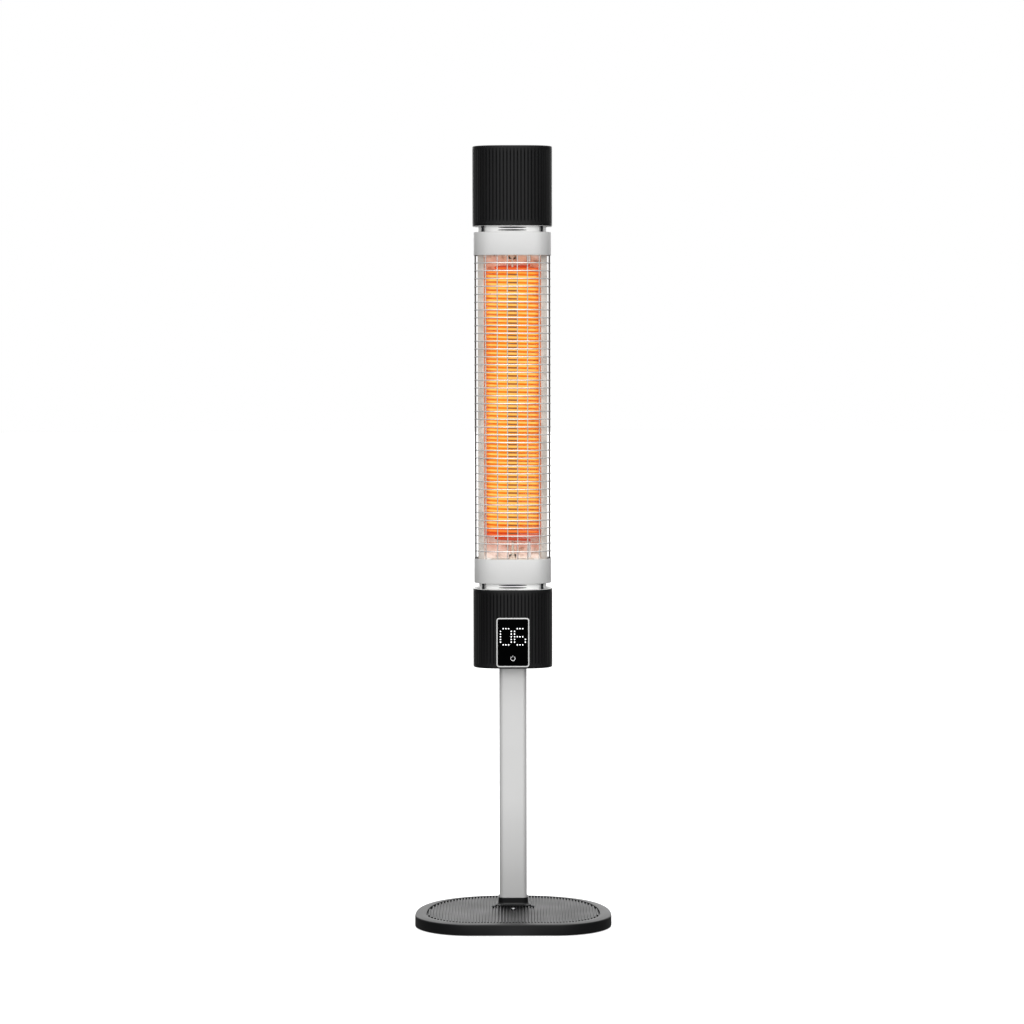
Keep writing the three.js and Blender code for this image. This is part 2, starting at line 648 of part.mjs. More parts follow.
const glassFront = displayFront + GLASS_RECESS;
const glassBack = glassFront + GLASS_THICKNESS;
const frameHole = displayOutline(DISPLAY_FRAME);
const displayFrame = uprightPlate(displayOutline(0), displayFront, displayBack, [frameHole]);
const displayGlass = uprightPlate(displayOutline(DISPLAY_FRAME + FIT), glassFront, glassBack);
const displayBoard = block(DISPLAY_BOARD_WIDTH, BOARD, DISPLAY_BOARD_HEIGHT,
  0, displayBack + FIT + BOARD / 2, floorPlateTop + FIT);

place('display_frame', displayFrame, satinAluminium, tower);
place('display_glass', displayGlass, blackGlass, tower);
place('display_board', displayBoard, circuitBoard, tower);

// ---------------------------------------------------------------- tip-over switch

// The pendulum hangs on a pin between the cheeks of a yoke under the housing's top.
const yokeTop = housingTop - HOUSING_WALL - FIT;
const yokeY = -YOKE_FORWARD;
const pinZ = yokeTop - PIN_DROP;
const pinHole = () => rodAlongX(PIN_RADIUS + RUNNING_GAP, -YOKE_WIDTH, YOKE_WIDTH, yokeY, pinZ, 10);

function tiltYoke() {
  const body = block(YOKE_WIDTH, YOKE_DEPTH, YOKE_HEIGHT, 0, yokeY, yokeTop - YOKE_HEIGHT);
  const slot = block(YOKE_WIDTH - 2 * YOKE_CHEEK, YOKE_DEPTH + 2, YOKE_HEIGHT,
    0, yokeY, yokeTop - YOKE_HEIGHT - YOKE_CHEEK);
  return cut(body, slot, pinHole());
}

function tiltPendulum() {
  const half = YOKE_WIDTH / 2 - YOKE_CHEEK - PENDULUM_PLAY;
  const bobZ = pinZ - PENDULUM_LENGTH;
  const eye = rodAlongX(PENDULUM_EYE, -half, half, yokeY, pinZ, 12);
  const arm = block(PENDULUM_ARM, PENDULUM_ARM, PENDULUM_LENGTH, 0, yokeY, bobZ);
  const bob = rodAlongX(BOB_RADIUS, -half, half, yokeY, bobZ, 12);
  return cut(join(eye, arm, bob), pinHole());
}

const tiltPin = rodAlongX(PIN_RADIUS, -YOKE_WIDTH / 2, YOKE_WIDTH / 2, yokeY, pinZ, 10);

place('tilt_yoke', tiltYoke(), whitePlastic, tower);
place('tilt_pin', tiltPin, steel, tower);
place('tilt_pendulum', tiltPendulum(), brass, tower);
console.log('pendulum pivot at', 0, poleY + yokeY, pinZ, 'mm');

// ---------------------------------------------------------------- necks, spacers, bands, end plates

function neck(bottom, top, slotsFrom) {
  const tube = prism(towerOutline(NECK_INSET, NECK_POINTS), bottom, top,
    [towerOutline(NECK_INSET + NECK_WALL, NECK_POINTS).reverse()]);
  const slots = [0, 1].map((i) => block(NECK_SLOT_WIDTH, TOWER_DEPTH / 2, NECK_SLOT_HEIGHT,
    0, -TOWER_DEPTH / 2, slotsFrom + i * NECK_SLOT_PITCH));
  return cut(tube, ...slots);
}

const slotMargin = (NECK_GAP - NECK_SLOT_PITCH - NECK_SLOT_HEIGHT) / 2;
const lowerGap = { bottom: housingTop + FIT, top: lowerPlateTop - END_PLATE - FIT };
const upperGap = { bottom: upperPlateBottom + END_PLATE + FIT, top: capBottom - FIT };
place('lower_neck', neck(lowerGap.bottom, lowerGap.top, housingTop + slotMargin), polishedSheet, tower);
place('upper_neck', neck(upperGap.bottom, upperGap.top, upperBandTop + slotMargin), polishedSheet, tower);

const spacerX = TOWER_WIDTH / 2 - SPACER_FROM_SIDE;
const spacerY = TOWER_DEPTH / 2 - SPACER_FROM_FRONT;
const spacer = (sideX, sideY, { bottom, top }) => rod(
  SPACER_RADIUS, sideX * spacerX, sideY * spacerY, bottom, top, 10);
const corners = [['front_left', -1, -1], ['front_right', 1, -1], ['rear_left', -1, 1], ['rear_right', 1, 1]];
for (const [corner, sideX, sideY] of corners) {
  place(`lower_spacer_${corner}`, spacer(sideX, sideY, lowerGap), blackSteel, tower);
  place(`upper_spacer_${corner}`, spacer(sideX, sideY, upperGap), blackSteel, tower);
}

function band(bottom, top) {
  return prism(towerOutline(BAND_INSET), bottom, top, [towerOutline(BAND_INSET + BAND_WALL).reverse()]);
}

place('lower_band', band(lowerBandBottom, lowerBandTop), satinAluminium, tower);
place('upper_band', band(upperBandBottom, upperBandTop), satinAluminium, tower);

function endPlate(bottom) {
  const top = bottom + END_PLATE;
  const leadHole = rod(LEAD_HOLE, 0, TROUGH_BACK + LEAD_HOLE, bottom - 1, top + 1, 12);
  return cut(prism(towerOutline(bandInside, PLATE_POINTS), bottom, top), leadHole);
}

place('lower_end_plate', endPlate(lowerPlateTop - END_PLATE), satinAluminium, tower);
place('upper_end_plate', endPlate(upperPlateBottom), satinAluminium, tower);

function capPlate() {
  const top = capBottom + CAP_PLATE;
  const plate = prism(towerOutline(HOUSING_WALL + FIT, PLATE_POINTS), capBottom, top);
  return cut(plate, ...sideScrewHoles(capBottom - 1, top + 1));
}

place('cap_plate', capPlate(), blackSteel, tower);
for (const [side, name] of [[-1, 'cap_screw_left'], [1, 'cap_screw_right']]) {
  place(name, screw(side * clampScrewX, 0, capBottom + CAP_PLATE, CAP_PLATE,
    SCREW_HEAD_RADIUS, SCREW_HEAD_HEIGHT, SCREW_SHANK_RADIUS), steel, tower);
}

// ---------------------------------------------------------------- guard

// Stations round the front: both edges of each upright wire, and the bends between the wires.
// Both edges of a wire share one ridge on the inside, so a wire has three faces.
function guardStations() {
  const halfWidth = TOWER_WIDTH / 2 - bandInside;
  const outerPost = TOWER_WIDTH / 2 - POST_FROM_SIDE;
  const wires = [...POST_OFFSETS, outerPost, halfWidth - WIRE / 2];
  const lastBend = outerPost + WIRE / 2;
  const stations = [];
  for (const side of [-1, 1]) {
    for (const x of wires) {
      for (const edge of [-1, 1]) {
        stations.push({ x: side * x + (edge * WIRE) / 2, ridge: side * x, post: edge < 0 });
      }
    }
    for (let i = 1; i < GUARD_SIDE_STEPS; i += 1) {
      const x = side * THREE.MathUtils.lerp(lastBend, halfWidth, Math.sqrt(i / GUARD_SIDE_STEPS));
      stations.push({ x, ridge: x, post: false });
    }
  }
  return stations.sort((first, second) => first.x - second.x);
}

// Rings and the spaces between them, from the lower to the upper end of the guard.
function guardLevels() {
  const pitch = WINDOW_HEIGHT / (RING_COUNT + 1);
  const levels = [{ z: sectionBottom, ridge: sectionBottom, ring: false }];
  for (let i = 1; i <= RING_COUNT; i += 1) {
    const middle = lowerBandTop + i * pitch;
    levels.push({ z: middle - WIRE / 2, ridge: middle, ring: true });
    levels.push({ z: middle + WIRE / 2, ridge: middle, ring: false });
  }
  levels.push({ z: sectionTop, ridge: sectionTop, ring: false });
  return levels;
}

// A flat outer skin and a ridged inner skin, joined by walls wherever a mesh of the guard is open.
function wireGuard() {
  const stations = guardStations();
  const levels = guardLevels();
  const halfWidth = TOWER_WIDTH / 2 - bandInside;
  const outer = ({ x }) => {
    const reach = Math.min(Math.abs(x), halfWidth - WIRE / 4);
    return new THREE.Vector2(x, -towerDepthAt(reach, bandInside));
  };
  const inner = ({ ridge }) => {
    const reach = Math.min(Math.abs(ridge), halfWidth - 1.5 * WIRE);
    const x = Math.sign(ridge) * Math.min(Math.abs(ridge), halfWidth - WIRE);
    return new THREE.Vector2(x, -towerDepthAt(reach, bandInside + WIRE));
  };
  const corners = new Map();
  const positions = [];
  const corner = (isInner, s, h) => {
    const flat = isInner ? inner(stations[s]) : outer(stations[s]);
    const z = isInner ? levels[h].ridge : levels[h].z;
    const key = [isInner, flat.x.toFixed(4), flat.y.toFixed(4), z.toFixed(4)].join();
    if (!corners.has(key)) {
      corners.set(key, positions.length / 3);
      positions.push(flat.x, flat.y, z);
    }
    return corners.get(key);
  };
  const faces = [];
  const triangle = (a, b, c) => { if (a !== b && b !== c && c !== a) faces.push(a, b, c); };
  const quad = (a, b, c, d) => { triangle(a, b, c); triangle(a, c, d); };
  const filled = (s, h) => s >= 0 && s < stations.length - 1 && h >= 0 && h < levels.length - 1
    && (stations[s].post || levels[h].ring);
  for (let s = 0; s < stations.length - 1; s += 1) {
    for (let h = 0; h < levels.length - 1; h += 1) {
      if (!filled(s, h)) continue;
      const around = [[s, h], [s + 1, h], [s + 1, h + 1], [s, h + 1]];
      const [a, b, c, d] = around.map(([i, j]) => corner(false, i, j));
      const [e, f, g, k] = around.map(([i, j]) => corner(true, i, j));
      quad(a, b, c, d);
      quad(e, k, g, f);
      if (!filled(s, h - 1)) quad(a, e, f, b);
      if (!filled(s, h + 1)) quad(d, c, g, k);
      if (!filled(s - 1, h)) quad(a, d, k, e);
      if (!filled(s + 1, h)) quad(b, f, g, c);
    }
  }
  const geometry = new THREE.BufferGeometry();
  geometry.setAttribute('position', new THREE.Float32BufferAttribute(positions, 3));
  geometry.setIndex(faces);
  return solid(geometry);
}

place('wire_guard', wireGuard(), guardWire, tower);

// ---------------------------------------------------------------- places of the coil

const coilBottom = lowerBandTop + COIL_LOWER_GAP;
const coilTop = upperBandBottom - COIL_UPPER_GAP;
const coilPitch = (coilTop - coilBottom) / COIL_TURNS;
const coilHalfWidth = (troughFrontWidth - STRAND) / 2 - COIL_SIDE_GAP;
const coilHalfDepth = (COIL_DEPTH - STRAND) / 2;
const leadX = coilHalfWidth * END_LOOP_SCALE;
const holderWidth = 2 * (leadX + TERMINAL_RADIUS + FIT + HOLDER_WALL);

// ---------------------------------------------------------------- reflector, rails, rear cover

// A trough widens from its back to its front, and its end walls slope outwards too.
function trough(growth, front) {
  const outline = (width, bottom, top) => [[-1, bottom - growth], [1, bottom - growth],
    [1, top + growth], [-1, top + growth]].map(([side, z]) => ({ x: side * (width / 2 + growth), z }));
  const beyond = (TROUGH_FRONT - front) / (TROUGH_BACK - TROUGH_FRONT);
  const rise = END_WALL_RUN * beyond;
  const nearWidth = troughFrontWidth + 2 * TROUGH_TAPER * beyond;
  const near = outline(nearWidth, lowerBandTop - rise, upperBandBottom + rise);
  const far = outline(troughBackWidth, lowerBandTop + END_WALL_RUN, upperBandBottom - END_WALL_RUN);
  const positions = [
    ...near.flatMap((p) => [p.x, front, p.z]), ...far.flatMap((p) => [p.x, TROUGH_BACK + growth, p.z])];
  const faces = [0, 1, 2, 0, 2, 3, 4, 6, 5, 4, 7, 6];
  for (let i = 0; i < 4; i += 1) {
    const j = (i + 1) % 4;
    faces.push(i, i + 4, j + 4, i, j + 4, j);
  }
  const geometry = new THREE.BufferGeometry();
  geometry.setAttribute('position', new THREE.Float32BufferAttribute(positions, 3));
  geometry.setIndex(faces);
  return solid(geometry);
}

// The holders stand below and above the end walls, which the terminals and the former's tang pass.
function reflector() {
  const height = sectionTop - sectionBottom;
  const flange = block(reflectorWidth, SHEET, height, 0, TROUGH_FRONT + SHEET / 2, sectionBottom);
  const passages = [sectionBottom - 1, sectionTop - HOLDER_HEIGHT - FIT].map((bottom) => block(
    holderWidth + 2 * FIT, HOLDER_DEPTH + 2 * FIT, HOLDER_HEIGHT + FIT + 1, 0, COIL_CENTRE, bottom));
  const tangHole = block(TANG_WIDTH + 2 * FIT, TANG_DEPTH + 2 * FIT, height, 0, COIL_CENTRE, sectionBottom);
  const terminalHole = rod(TERMINAL_RADIUS + FIT, leadX, COIL_CENTRE, sectionBottom, sectionTop, 12);
  const skin = join(flange, trough(SHEET, TROUGH_FRONT));
  return cut(skin, trough(0, TROUGH_FRONT - 1), ...passages, tangHole, terminalHole);
}

place('reflector', reflector(), polishedSheet, tower);

const railX = reflectorWidth / 2 - REAR_WALL - FIT - RAIL_WIDTH / 2;
const railY = TROUGH_FRONT + SHEET + FIT + RAIL_DEPTH / 2;
const sideRail = (side) => block(RAIL_WIDTH, RAIL_DEPTH, sectionTop - sectionBottom,
  side * railX, railY, sectionBottom);
place('side_rail_left', sideRail(-1), satinAluminium, tower);
place('side_rail_right', sideRail(1), satinAluminium, tower);

// A curved back panel with side walls that reach forward to the reflector's flanges.
function rearSection(inset) {
  const halfWidth = reflectorWidth / 2 - inset;
  const steps = 12;
  const back = Array.from({ length: steps + 1 }, (_, i) => {
    const x = halfWidth * Math.cos((i * Math.PI) / steps);
    return new THREE.Vector2(x, towerDepthAt(x, bandInside + inset));
  });
  const front = TROUGH_FRONT + SHEET + FIT;
  return [...back, new THREE.Vector2(-halfWidth, front), new THREE.Vector2(halfWidth, front)];
}

function rearCover() {
  const shell = prism(rearSection(0), sectionBottom, sectionTop);
  const inside = rearSection(REAR_WALL);
  inside[inside.length - 1].y -= 1;
  inside[inside.length - 2].y -= 1;
  const vents = [];
  for (let i = 0; i < VENT_COUNT; i += 1) {
    const rise = VENT_FROM_END + i * VENT_PITCH;
    vents.push(block(VENT_WIDTH, TOWER_DEPTH / 2, VENT_HEIGHT, 0, TOWER_DEPTH / 2, lowerBandTop + rise));
    vents.push(block(VENT_WIDTH, TOWER_DEPTH / 2, VENT_HEIGHT, 0, TOWER_DEPTH / 2, upperBandBottom - rise));
  }
  return cut(shell, prism(inside, sectionBottom - 1, sectionTop + 1), ...vents);
}

place('rear_cover', rearCover(), satinAluminium, tower);

// ---------------------------------------------------------------- heating coil

// Middle line of the strand: full turns, a drawn-in loop at each end, then a straight lead.
function coilLine() {
  const points = [];
  for (let i = -CURL_STEPS; i <= (COIL_TURNS + 1) * CURL_STEPS; i += 1) {
    const past = Math.max(0, -i, i - COIL_TURNS * CURL_STEPS) / CURL_STEPS;
    const scale = THREE.MathUtils.lerp(1, END_LOOP_SCALE, Math.min(1, 2 * past));
    const angle = (-2 * Math.PI * i) / CURL_STEPS;
    const flat = squirclePoint(coilHalfWidth * scale, coilHalfDepth * scale, COIL_SQUARENESS, angle);
    points.push(new THREE.Vector3(flat.x, COIL_CENTRE + flat.y, coilBottom + (i / CURL_STEPS) * coilPitch));
  }
  const lead = (from, toZ) => [0.5, 1].map((share) => from.clone().setZ(
    THREE.MathUtils.lerp(from.z, toZ, share)));
  const lowerLead = lead(points[0], sectionBottom + TERMINAL_HEIGHT + FIT);
  const upperLead = lead(points[points.length - 1], sectionTop - TERMINAL_HEIGHT - FIT);
  return [...lowerLead.reverse(), ...points, ...upperLead];
}

// A tube of few sides along the line, with flat ends.
function strandGeometry(line, radius) {
  const rings = line.map((point, i) => {
    const isEnd = i === 0 || i === line.length - 1;
    const ahead = line[Math.min(i + 1, line.length - 1)];
    const behind = line[Math.max(i - 1, 0)];
    const along = isEnd ? new THREE.Vector3(0, 0, 1) : ahead.clone().sub(behind).normalize();
    const radial = new THREE.Vector3(point.x, (point.y - COIL_CENTRE) * 2, 0).normalize();
    const side = new THREE.Vector3().crossVectors(along, radial).normalize();
    const out = new THREE.Vector3().crossVectors(side, along).normalize();
    return Array.from({ length: STRAND_SIDES }, (_, k) => {
      const angle = (2 * Math.PI * k) / STRAND_SIDES;
      return point.clone().addScaledVector(out, radius * Math.cos(angle))
        .addScaledVector(side, radius * Math.sin(angle));
    });
  });
  const positions = rings.flat().flatMap((p) => [p.x, p.y, p.z]);
  const faces = [];
  for (let ring = 0; ring < rings.length - 1; ring += 1) {
    for (let k = 0; k < STRAND_SIDES; k += 1) {
      const a = ring * STRAND_SIDES + k;
      const b = ring * STRAND_SIDES + ((k + 1) % STRAND_SIDES);
      faces.push(a, b, b + STRAND_SIDES, a, b + STRAND_SIDES, a + STRAND_SIDES);
    }
  }
  const last = (rings.length - 1) * STRAND_SIDES;
  for (let k = 1; k < STRAND_SIDES - 1; k += 1) {
    faces.push(0, k + 1, k);
    faces.push(last, last + k, last + k + 1);
  }
  const geometry = new THREE.BufferGeometry();
  geometry.setAttribute('position', new THREE.Float32BufferAttribute(positions, 3));
  geometry.setIndex(faces);
  return { geometry, rings };
}

// The least distance between skin points of the strand that lie half a turn or more apart.
function leastGap(rings) {
  const apart = CURL_STEPS / 2;
  let least = Infinity;
  rings.forEach((ring, i) => {
    for (let j = i + apart; j < Math.min(rings.length, i + 3 * CURL_STEPS); j += 1) {
      for (const p of ring) for (const q of rings[j]) least = Math.min(least, p.distanceTo(q));
    }
  });
  return least;
}

const strand = strandGeometry(coilLine(), STRAND / 2);
console.log('coil: least gap between turns', leastGap(strand.rings).toFixed(2), 'mm');
place('heating_coil', solid(strand.geometry), glowingCoil, tower);

// ---------------------------------------------------------------- ceramic former, holders, terminals

const formerDepth = 2 * coilHalfDepth - STRAND - 2 * FORMER_PLAY;
const formerInset = FORMER_PLAY + STRAND / 2;
const holderTop = sectionBottom + HOLDER_HEIGHT;
const holderUnderside = sectionTop - HOLDER_HEIGHT;

// An I-section inside the turns, on a tang that stands in a pocket of each holder.
function coilFormer() {
  const flangeY = (formerDepth - FORMER_FLANGE) / 2;
  const bottom = coilBottom + formerInset;
  const height = coilTop - formerInset - bottom;
  const flanges = [-1, 1].map((side) => block(FORMER_WIDTH, FORMER_FLANGE, height,
    0, COIL_CENTRE + side * flangeY, bottom));
  const web = block(FORMER_WEB, 2 * flangeY, height, 0, COIL_CENTRE, bottom);
  const tangBottom = holderTop - HOLDER_POCKET + FIT;
  const tangTop = holderUnderside + HOLDER_POCKET - FIT;
  const tang = block(TANG_WIDTH, TANG_DEPTH, tangTop - tangBottom, 0, COIL_CENTRE, tangBottom);
  return join(web, ...flanges, tang);
}

function coilHolder(bottom, pocketBottom) {
  const body = block(holderWidth, HOLDER_DEPTH, HOLDER_HEIGHT, 0, COIL_CENTRE, bottom);
  const pocket = block(TANG_WIDTH + 2 * FIT, TANG_DEPTH + 2 * FIT, HOLDER_POCKET + 1,
    0, COIL_CENTRE, pocketBottom);
  const hole = rod(TERMINAL_RADIUS + FIT, leadX, COIL_CENTRE, bottom - 1, bottom + HOLDER_HEIGHT + 1, 12);
  return cut(body, pocket, hole);
}

const terminal = (bottom) => rod(TERMINAL_RADIUS, leadX, COIL_CENTRE, bottom, bottom + TERMINAL_HEIGHT, 12);

place('coil_former', coilFormer(), ceramic, tower);
place('lower_coil_holder', coilHolder(sectionBottom, holderTop - HOLDER_POCKET), ceramic, tower);
place('upper_coil_holder', coilHolder(holderUnderside, holderUnderside - 1), ceramic, tower);
place('lower_terminal', terminal(sectionBottom), steel, tower);
place('upper_terminal', terminal(sectionTop - TERMINAL_HEIGHT), steel, tower);

function thermalCutout() {
  const bottom = upperPlateBottom + END_PLATE + FIT;
  const base = block(CUTOUT_WIDTH, CUTOUT_DEPTH, CUTOUT_BASE, 0, -CUTOUT_FORWARD, bottom);
  return join(base, rod(CUTOUT_RADIUS, 0, -CUTOUT_FORWARD, bottom, bottom + CUTOUT_HEIGHT, 12));
}

const returnLead = rod(RETURN_LEAD_RADIUS, RETURN_LEAD_SIDE, TROUGH_BACK + RETURN_LEAD_BEHIND,
  sectionBottom, sectionTop, 8);

place('thermal_cutout', thermalCutout(), whitePlastic, tower);
place('return_lead', returnLead, whitePlastic, tower);

heater.updateMatrixWorld(true);

export default heater;
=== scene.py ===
"""Looks of an infrared patio heater tower: ribbed D-shaped base, aluminium pole and a slim glowing tower."""

import json
import math

import bpy
from mathutils import Matrix, Vector


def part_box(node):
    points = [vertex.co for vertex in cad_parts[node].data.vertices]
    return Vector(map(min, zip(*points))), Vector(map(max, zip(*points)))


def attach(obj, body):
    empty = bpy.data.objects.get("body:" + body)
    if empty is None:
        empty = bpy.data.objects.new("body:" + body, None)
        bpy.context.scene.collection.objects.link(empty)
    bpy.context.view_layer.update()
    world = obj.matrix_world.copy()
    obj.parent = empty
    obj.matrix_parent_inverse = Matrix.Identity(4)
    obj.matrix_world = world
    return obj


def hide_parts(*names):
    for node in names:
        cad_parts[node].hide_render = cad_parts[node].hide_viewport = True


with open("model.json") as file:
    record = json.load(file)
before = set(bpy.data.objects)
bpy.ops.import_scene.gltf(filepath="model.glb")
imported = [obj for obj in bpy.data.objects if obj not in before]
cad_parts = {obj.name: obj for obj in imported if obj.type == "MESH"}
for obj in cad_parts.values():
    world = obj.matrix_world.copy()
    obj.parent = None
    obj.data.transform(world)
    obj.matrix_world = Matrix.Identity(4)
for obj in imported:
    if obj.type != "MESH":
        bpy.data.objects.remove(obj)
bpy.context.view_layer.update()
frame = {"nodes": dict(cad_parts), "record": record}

MM = 0.001
BODY = "heater"

# ---------------- sizes taken from the frame

base_low, base_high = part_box("base_cover")
collar_low, collar_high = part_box("pole_collar")
pole_low, pole_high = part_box("pole_tube")
casing_low, casing_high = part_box("lower_housing")
cap_low, cap_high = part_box("top_cap")
band_low, band_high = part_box("lower_band")
upper_band_low, upper_band_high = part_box("upper_band")
guard_low, guard_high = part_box("wire_guard")
coil_low, coil_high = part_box("heating_coil")
rear_low, rear_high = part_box("rear_cover")
reflector_low, reflector_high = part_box("reflector")
former_low, former_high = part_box("coil_former")
bezel_low, bezel_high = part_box("display_frame")
pane_low, pane_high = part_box("display_glass")

pole_y = (pole_low.y + pole_high.y) / 2
pole_width = pole_high.x - pole_low.x
pole_depth = pole_high.y - pole_low.y
tower_width = casing_high.x - casing_low.x
tower_depth = casing_high.y - casing_low.y

# ---------------- sizes of the finish

NECK_SLOT_PITCH = 4.4 * MM
SQUARENESS = 3                      # superellipse exponent of the tower's section
SECTION_POINTS = 144
WALL = 2.5 * MM
EDGE = 1.2 * MM                     # rounding of a casing's edges
FLUTES = 68
FLUTE_WIDTH = 2.2 * MM
FLUTE_LIP = 0.16 * MM
FLUTE_SLOPE = 0.84 * MM             # what each side of a flute takes of its width
FLUTE_DEPTH = 1.5 * MM
FLUTE_MARGIN = 4.5 * MM             # plain border over and under the flutes
FLUTE_RUN_OUT = 5 * MM

RIM_WIDTH = 12 * MM                 # front and back
FIELD_SHARE = 0.95                  # makes the rim wider at both sides
RIM_ROUND = 2.4 * MM
RIM_FALL = 1.2 * MM                 # how much lower the rim is at its outside
SEAT_DEPTH = 1 * MM                 # top of the rim to what the collar and screws stand on
RECESS = 2.2 * MM
MOAT_WIDTH = 4 * MM                 # groove round the ribbed field, below the ends of the ribs
MOAT_DEPTH = 4.2 * MM
COVER_WALL = 3 * MM
COVER_GAP = 0.8 * MM                # floor to the cover's lower edge
BASE_REACH = 101 * MM               # widest line of the base to its straight front
BASE_CORNER = 98 * MM
BASE_SQUARENESS = 2.4               # superellipse exponent of the base's back
RIB_PITCH = 5.4 * MM
RIB_WIDTH = 3.3 * MM
RIB_END_GAP = 0.7 * MM
RIB_FRONT_GAP = 6 * MM

POLE_CORNER = 8 * MM
POLE_WALL = 2 * MM
POLE_FOOT_SHADE = (0.07, 0.21)            # heights between which the painted shade at the pole's foot fades out
COLLAR_WALL = 2.2 * MM
FLARE_HEIGHT = 5.5 * MM
FLARE_POWER = 3.2
FLARE_STEPS = 6
collar_reach = (collar_high.x - collar_low.x - pole_width) / 2

WIRE_RADIUS = 1.0 * MM
SIDE_WIRE_RADIUS = 1.35 * MM
RINGS = 38
UPRIGHTS = (8.7 * MM, 26.2 * MM, 46.6 * MM)

TURNS = 66
STRAND_RADIUS = 2.3 * MM
END_LOOP_SCALE = 0.65
COIL_SQUARENESS = 2.4
BEAD_RADIUS = 6.9 * MM
BEAD_HEIGHT = 6 * MM
TIE_RADIUS = 2 * MM
FLANGE_WIDTH = 10.5 * MM
COIL_LOWER_GAP = 38.4 * MM          # edge of the window to the first full turn
COIL_UPPER_GAP = 24.5 * MM
coil_width = coil_high.x - coil_low.x
trough_half = (reflector_high.x - reflector_low.x) / 2 - FLANGE_WIDTH
first_turn = band_high.z + COIL_LOWER_GAP
last_turn = upper_band_low.z - COIL_UPPER_GAP
turn_pitch = (last_turn - first_turn) / TURNS

DISPLAY_CORNER = 5 * MM
BEZEL_WIDTH = 2.1 * MM
DOT_PITCH = 4.7 * MM
DOT_RADIUS = 1.05 * MM
DIGIT_PITCH = 24.6 * MM
READOUT_LEFT = -21.6 * MM
READOUT_RISE = 67.5 * MM            # top row over the lower edge of the frame


# ---------------- modelling helpers

UP = Vector((0, 0, 1))
DOWN = -UP
FRONT = Vector((0, -1, 0))
BACK = -FRONT


def deselect_all():
    if bpy.context.object and bpy.context.object.mode != "OBJECT":
        bpy.ops.object.mode_set(mode="OBJECT")
    bpy.ops.object.select_all(action="DESELECT")


def work_on(piece):
    deselect_all()
    piece.select_set(True)
    bpy.context.view_layer.objects.active = piece


def edit(piece):
    work_on(piece)
    bpy.ops.object.mode_set(mode="EDIT")
    bpy.ops.mesh.select_all(action="SELECT")


def pick(piece, kind, wanted):
    """Edit mode with only the faces, edges or corners selected that pass a test of their place."""
    edit(piece)
    bpy.ops.mesh.select_mode(type=kind)
    bpy.ops.mesh.select_all(action="DESELECT")
    bpy.ops.object.mode_set(mode="OBJECT")
    mesh = piece.data
    if kind == "FACE":
        for face in mesh.polygons:
            face.select = wanted(face)
    elif kind == "EDGE":
        for line in mesh.edges:
            line.select = wanted(*(mesh.vertices[i].co for i in line.vertices))
    else:
        for corner in mesh.vertices:
            corner.select = wanted(corner.co)
    bpy.ops.object.mode_set(mode="EDIT")


def settle(piece):
    """Puts a piece's place, turn and scale into its mesh."""
    work_on(piece)
    bpy.ops.object.transform_apply(location=True, rotation=True, scale=True)


def face_outwards(piece):
    edit(piece)
    bpy.ops.mesh.remove_doubles(threshold=1e-6)
    bpy.ops.mesh.normals_make_consistent(inside=False)
    bpy.ops.object.mode_set(mode="OBJECT")


def finished(piece, degrees=30):
    """Closes, turns outwards and smooths a piece."""
    face_outwards(piece)
    bpy.ops.object.shade_smooth_by_angle(angle=math.radians(degrees))
    return piece


def added(name):
    piece = bpy.context.object
    piece.name = name
    settle(piece)
    return piece


def cylinder(name, radius, low, high, x, y, sides=48):
    deselect_all()
    bpy.ops.mesh.primitive_cylinder_add(
        vertices=sides, radius=radius, depth=high - low, location=(x, y, (low + high) / 2))
    return added(name)


def cross_cylinder(name, radius, near, far, x, z, sides=48):
    """A cylinder that lies from front to back."""
    deselect_all()
    bpy.ops.mesh.primitive_cylinder_add(
        vertices=sides, radius=radius, depth=far - near, location=(x, (near + far) / 2, z),
        rotation=(math.pi / 2, 0, 0))
    return added(name)


def block(name, low, high):
    deselect_all()
    low, high = Vector(low), Vector(high)
    bpy.ops.mesh.primitive_cube_add(size=1, location=(low + high) / 2, scale=high - low)
    return added(name)


def bevel_along(piece, axis, radius, segments=8):
    """Rounds a block's edges that run along an axis."""
    pick(piece, "EDGE", lambda a, b: abs((b - a).normalized()[axis]) > 0.99)
    bpy.ops.mesh.bevel(offset=radius, segments=segments, profile=0.5)
    bpy.ops.object.mode_set(mode="OBJECT")
    return piece


def prism(name, outline, low, high):
    """An upright cylinder with a side for each point of an outline, drawn onto it."""
    count = len(outline)
    piece = cylinder(name, 1, low, high, 0, 0, count)
    first = piece.data.vertices[0].co
    start = math.atan2(first.y, first.x)
    for corner in piece.data.vertices:
        turn = math.atan2(corner.co.y, corner.co.x) - start
        corner.co.x, corner.co.y = outline[round(turn / math.tau * count) % count]
    return piece


def draw_end(piece, facing, start, *profile):
    """Insets and moves the end of a piece that faces one way, from step to step of a profile.

    A step is an inset from the outline and a place along the axis.
    """
    pick(piece, "FACE", lambda face: len(face.vertices) > 4 and face.normal.dot(facing) > 0.99)
    axis = [abs(part) for part in facing].index(1)
    inset, place = start
    for next_inset, next_place in profile:
        rise = (next_place - place) * facing[axis]
        if next_inset > inset:
            bpy.ops.mesh.inset(thickness=next_inset - inset, depth=rise)
        else:
            bpy.ops.mesh.extrude_region_move(TRANSFORM_OT_translate={"value": facing * rise})
        inset, place = next_inset, next_place
    bpy.ops.object.mode_set(mode="OBJECT")


def rounding(radius, inset, place, turn_in, steps=4):
    """Profile steps of a quarter round, from the side of a piece to its end."""
    ends = []
    for i in range(1, steps + 1):
        turn = math.pi / 2 * i / steps
        ends.append((inset + radius * (1 - math.cos(turn)), place + turn_in * radius * math.sin(turn)))
    return ends


